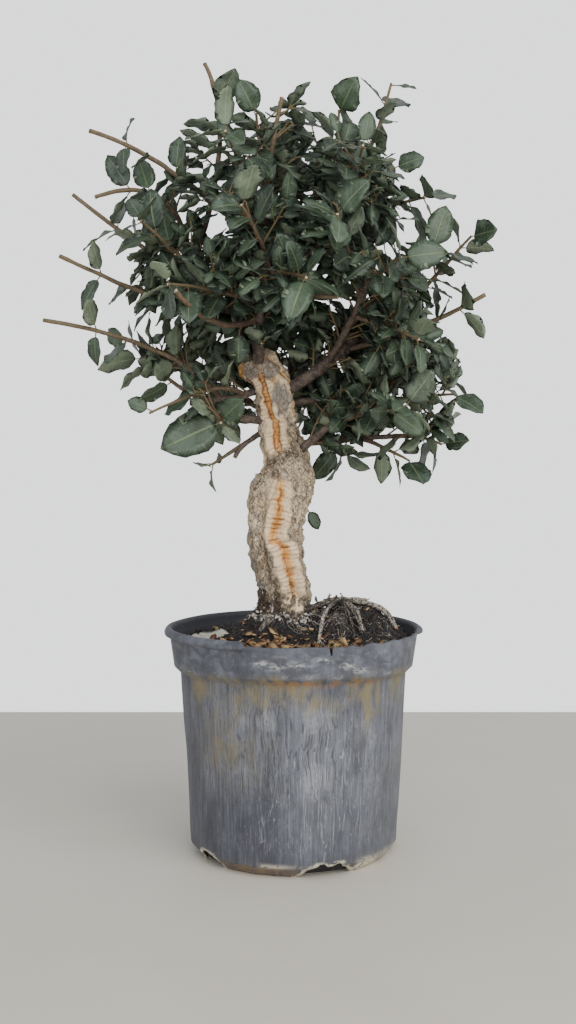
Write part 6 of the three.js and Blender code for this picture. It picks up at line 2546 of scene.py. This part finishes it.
@dataclass
class Foliage:
    """Pieces of the crown: one for each packed branch, and one of side shoots for each group."""

    form: LeafForm = field(default_factory=LeafForm)
    small_form: LeafForm = field(default_factory=lambda: LeafForm(columns=(-1, 0, 1), thickness=0.4))
    finishes: tuple = (TWIG_BARK, LEAF_UPPER, LEAF_UNDER, CUT_WOOD)
    groups: int = 6
    rounds: int = 17
    twig_seed: int = 200
    blade_seed: int = 300
    shoot_seed: int = 400
    small_blade_seed: int = 500
    stub_seed: int = 700

    def stem(self, path: Array, radii: tuple, seed: int, sides: int, rings: int, young: tuple) -> Patch:
        """A gnarled tube along a Bezier path, tapered, with its young mark from foot to tip.

        Args:
            path: The stem's three places.
            radii: Its first and last radius.
            seed: Seed of its relief.
            sides: Points round a ring.
            rings: Number of rings.
            young: Its young mark at the foot and the tip.

        Returns:
            The stem's patch.
        """
        shares = np.linspace(0, 1, rings)
        taper = radii[0] + (radii[1] - radii[0]) * shares
        line, ring = gnarled(bezier(path, shares), taper, sides, seed, 0.14)
        patch = tubes(line[None], ring[None], sides, 0, 3)
        patch.marks["young"] = young[0] + (young[1] - young[0]) * patch.marks["stem"]
        patch.marks["tone"] = np.full(len(patch.points), 0.8)
        return patch

    def build(self, crown: Crown) -> list:
        """Makes every piece of the crown.

        Args:
            crown: The grown crown.

        Returns:
            The pieces.
        """
        pieces = []
        for i, (twig, leaves) in enumerate(zip(crown.twigs, crown.own)):
            name = f"leafy_branch_{i + 1:02d}"
            stem = self.stem(twig.path, twig.radii, self.twig_seed + i, 8, 34, (0.1, 0.7))
            parts = [stem, self.form.blades(leaves, self.blade_seed + i), self.form.petioles(leaves)]
            pieces.append(make_piece(f"fine_{name}", parts, self.finishes, "leaf", name))
        shoots = [shoot for stem in crown.thicken(self.rounds) for shoot in stem]
        stubs = [
            self.stem(np.array(path, float), radii, self.stub_seed + j, 10, 30, (0, 0.45))
            for j, (path, radii) in enumerate(CUT_STUBS)
        ]
        pieces.append(make_piece("cut_stubs", stubs, [TWIG_BARK, CUT_WOOD, CUT_WOOD, CUT_WOOD], "cork_bark"))
        LOG.info("side shoots: %d with %d leaves", len(shoots), sum(len(leaves) for _, leaves in shoots))
        for number in range(self.groups):
            mine = shoots[number :: self.groups]
            leaves = [leaf for _, own in mine for leaf in own]
            parts = [
                self.stem(path, (0.9, 0.5), self.shoot_seed + j, 5, 8, (0.5, 1))
                for j, (path, _) in enumerate(mine)
            ]
            parts.append(self.small_form.blades(leaves, self.small_blade_seed + number))
            parts.append(self.form.petioles(leaves))
            pieces.append(make_piece(f"side_shoots_{number + 1}", parts, self.finishes, "leaf"))
        return pieces


# Studio


class LightSize(Enum):
    """Edge of a soft light in metres."""

    LARGE = 2.4
    MEDIUM = 1.4


@dataclass
class Studio:
    """Pale floor, soft light and the camera at the photograph's viewpoint."""

    lens: float = 43.95
    camera_at: tuple = (-3.9, -917, 295)
    pitch_down: float = 2.91
    floor_back: float = 471
    floor_reach: float = 1500
    backdrop: tuple = tint("dfe0e2")
    backdrop_strength: float = 2.4
    ambient_strength: float = 1.0
    look_at: tuple = (0, 0, 0.3)

    def light(self, name: str, at: tuple, power: float, size: LightSize, colour: tuple) -> None:
        """A square area light that looks at the tree's middle.

        Args:
            name: Its name.
            at: Its place in metres.
            power: Its power in watts.
            size: Its edge.
            colour: Its colour.
        """
        data = bpy.data.lights.new(name, "AREA")
        data.energy, data.size, data.color = power, size.value, colour
        lamp = bpy.data.objects.new(name, data)
        lamp.location = at
        lamp.rotation_euler = (Vector(self.look_at) - Vector(at)).to_track_quat("-Z", "Y").to_euler()
        bpy.context.scene.collection.objects.link(lamp)

    def build(self) -> None:
        """Makes the floor, the backdrop's light, two lamps and the camera."""
        x = self.floor_reach
        corners = np.array([[-x, -x, 0], [x, -x, 0], [x, self.floor_back, 0], [-x, self.floor_back, 0]], float)
        mesh = bpy.data.meshes.new("floor")
        mesh.from_pydata((corners * MM).tolist(), [], [(0, 1, 2, 3)])
        mesh.materials.append(PaleFloor().material())
        floor = bpy.data.objects.new("floor", mesh)
        bpy.context.scene.collection.objects.link(floor)
        world = bpy.data.worlds.new("soft studio")
        world.use_nodes = True
        shader = Shader(world.node_tree)
        seen = shader.node("LightPath", {}).outputs["Is Camera Ray"]
        extra = self.backdrop_strength - self.ambient_strength
        strength = shader.line(seen, extra, self.ambient_strength)
        shader.feed(world.node_tree.nodes["Background"], {"Color": self.backdrop, "Strength": strength})
        bpy.context.scene.world = world
        self.light("key", (1.25, -1.7, 1.35), 54, LightSize.LARGE, (1, 0.985, 0.96))
        self.light("fill", (-0.8, -2.2, 0.45), 16, LightSize.MEDIUM, (0.97, 0.98, 1))
        data = bpy.data.cameras.new("camera")
        data.lens = self.lens
        camera = bpy.data.objects.new("camera", data)
        camera.location = [value * MM for value in self.camera_at]
        camera.rotation_euler = (math.radians(90 - self.pitch_down), 0, 0)
        bpy.context.scene.collection.objects.link(camera)
        bpy.context.scene.camera = camera


def main() -> None:
    """Builds the studio and the tree."""
    logging.basicConfig(level=logging.INFO, format="%(message)s")
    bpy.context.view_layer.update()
    Studio().build()
    pot = NurseryPot()
    pot.build()
    SoilBed().build(pot)
    trunk = CorkTrunk()
    trunk.build()
    Limbs().build()
    SurfaceRoots().build()
    Foliage().build(Crown(trunk))


if __name__ == "__main__":
    main()
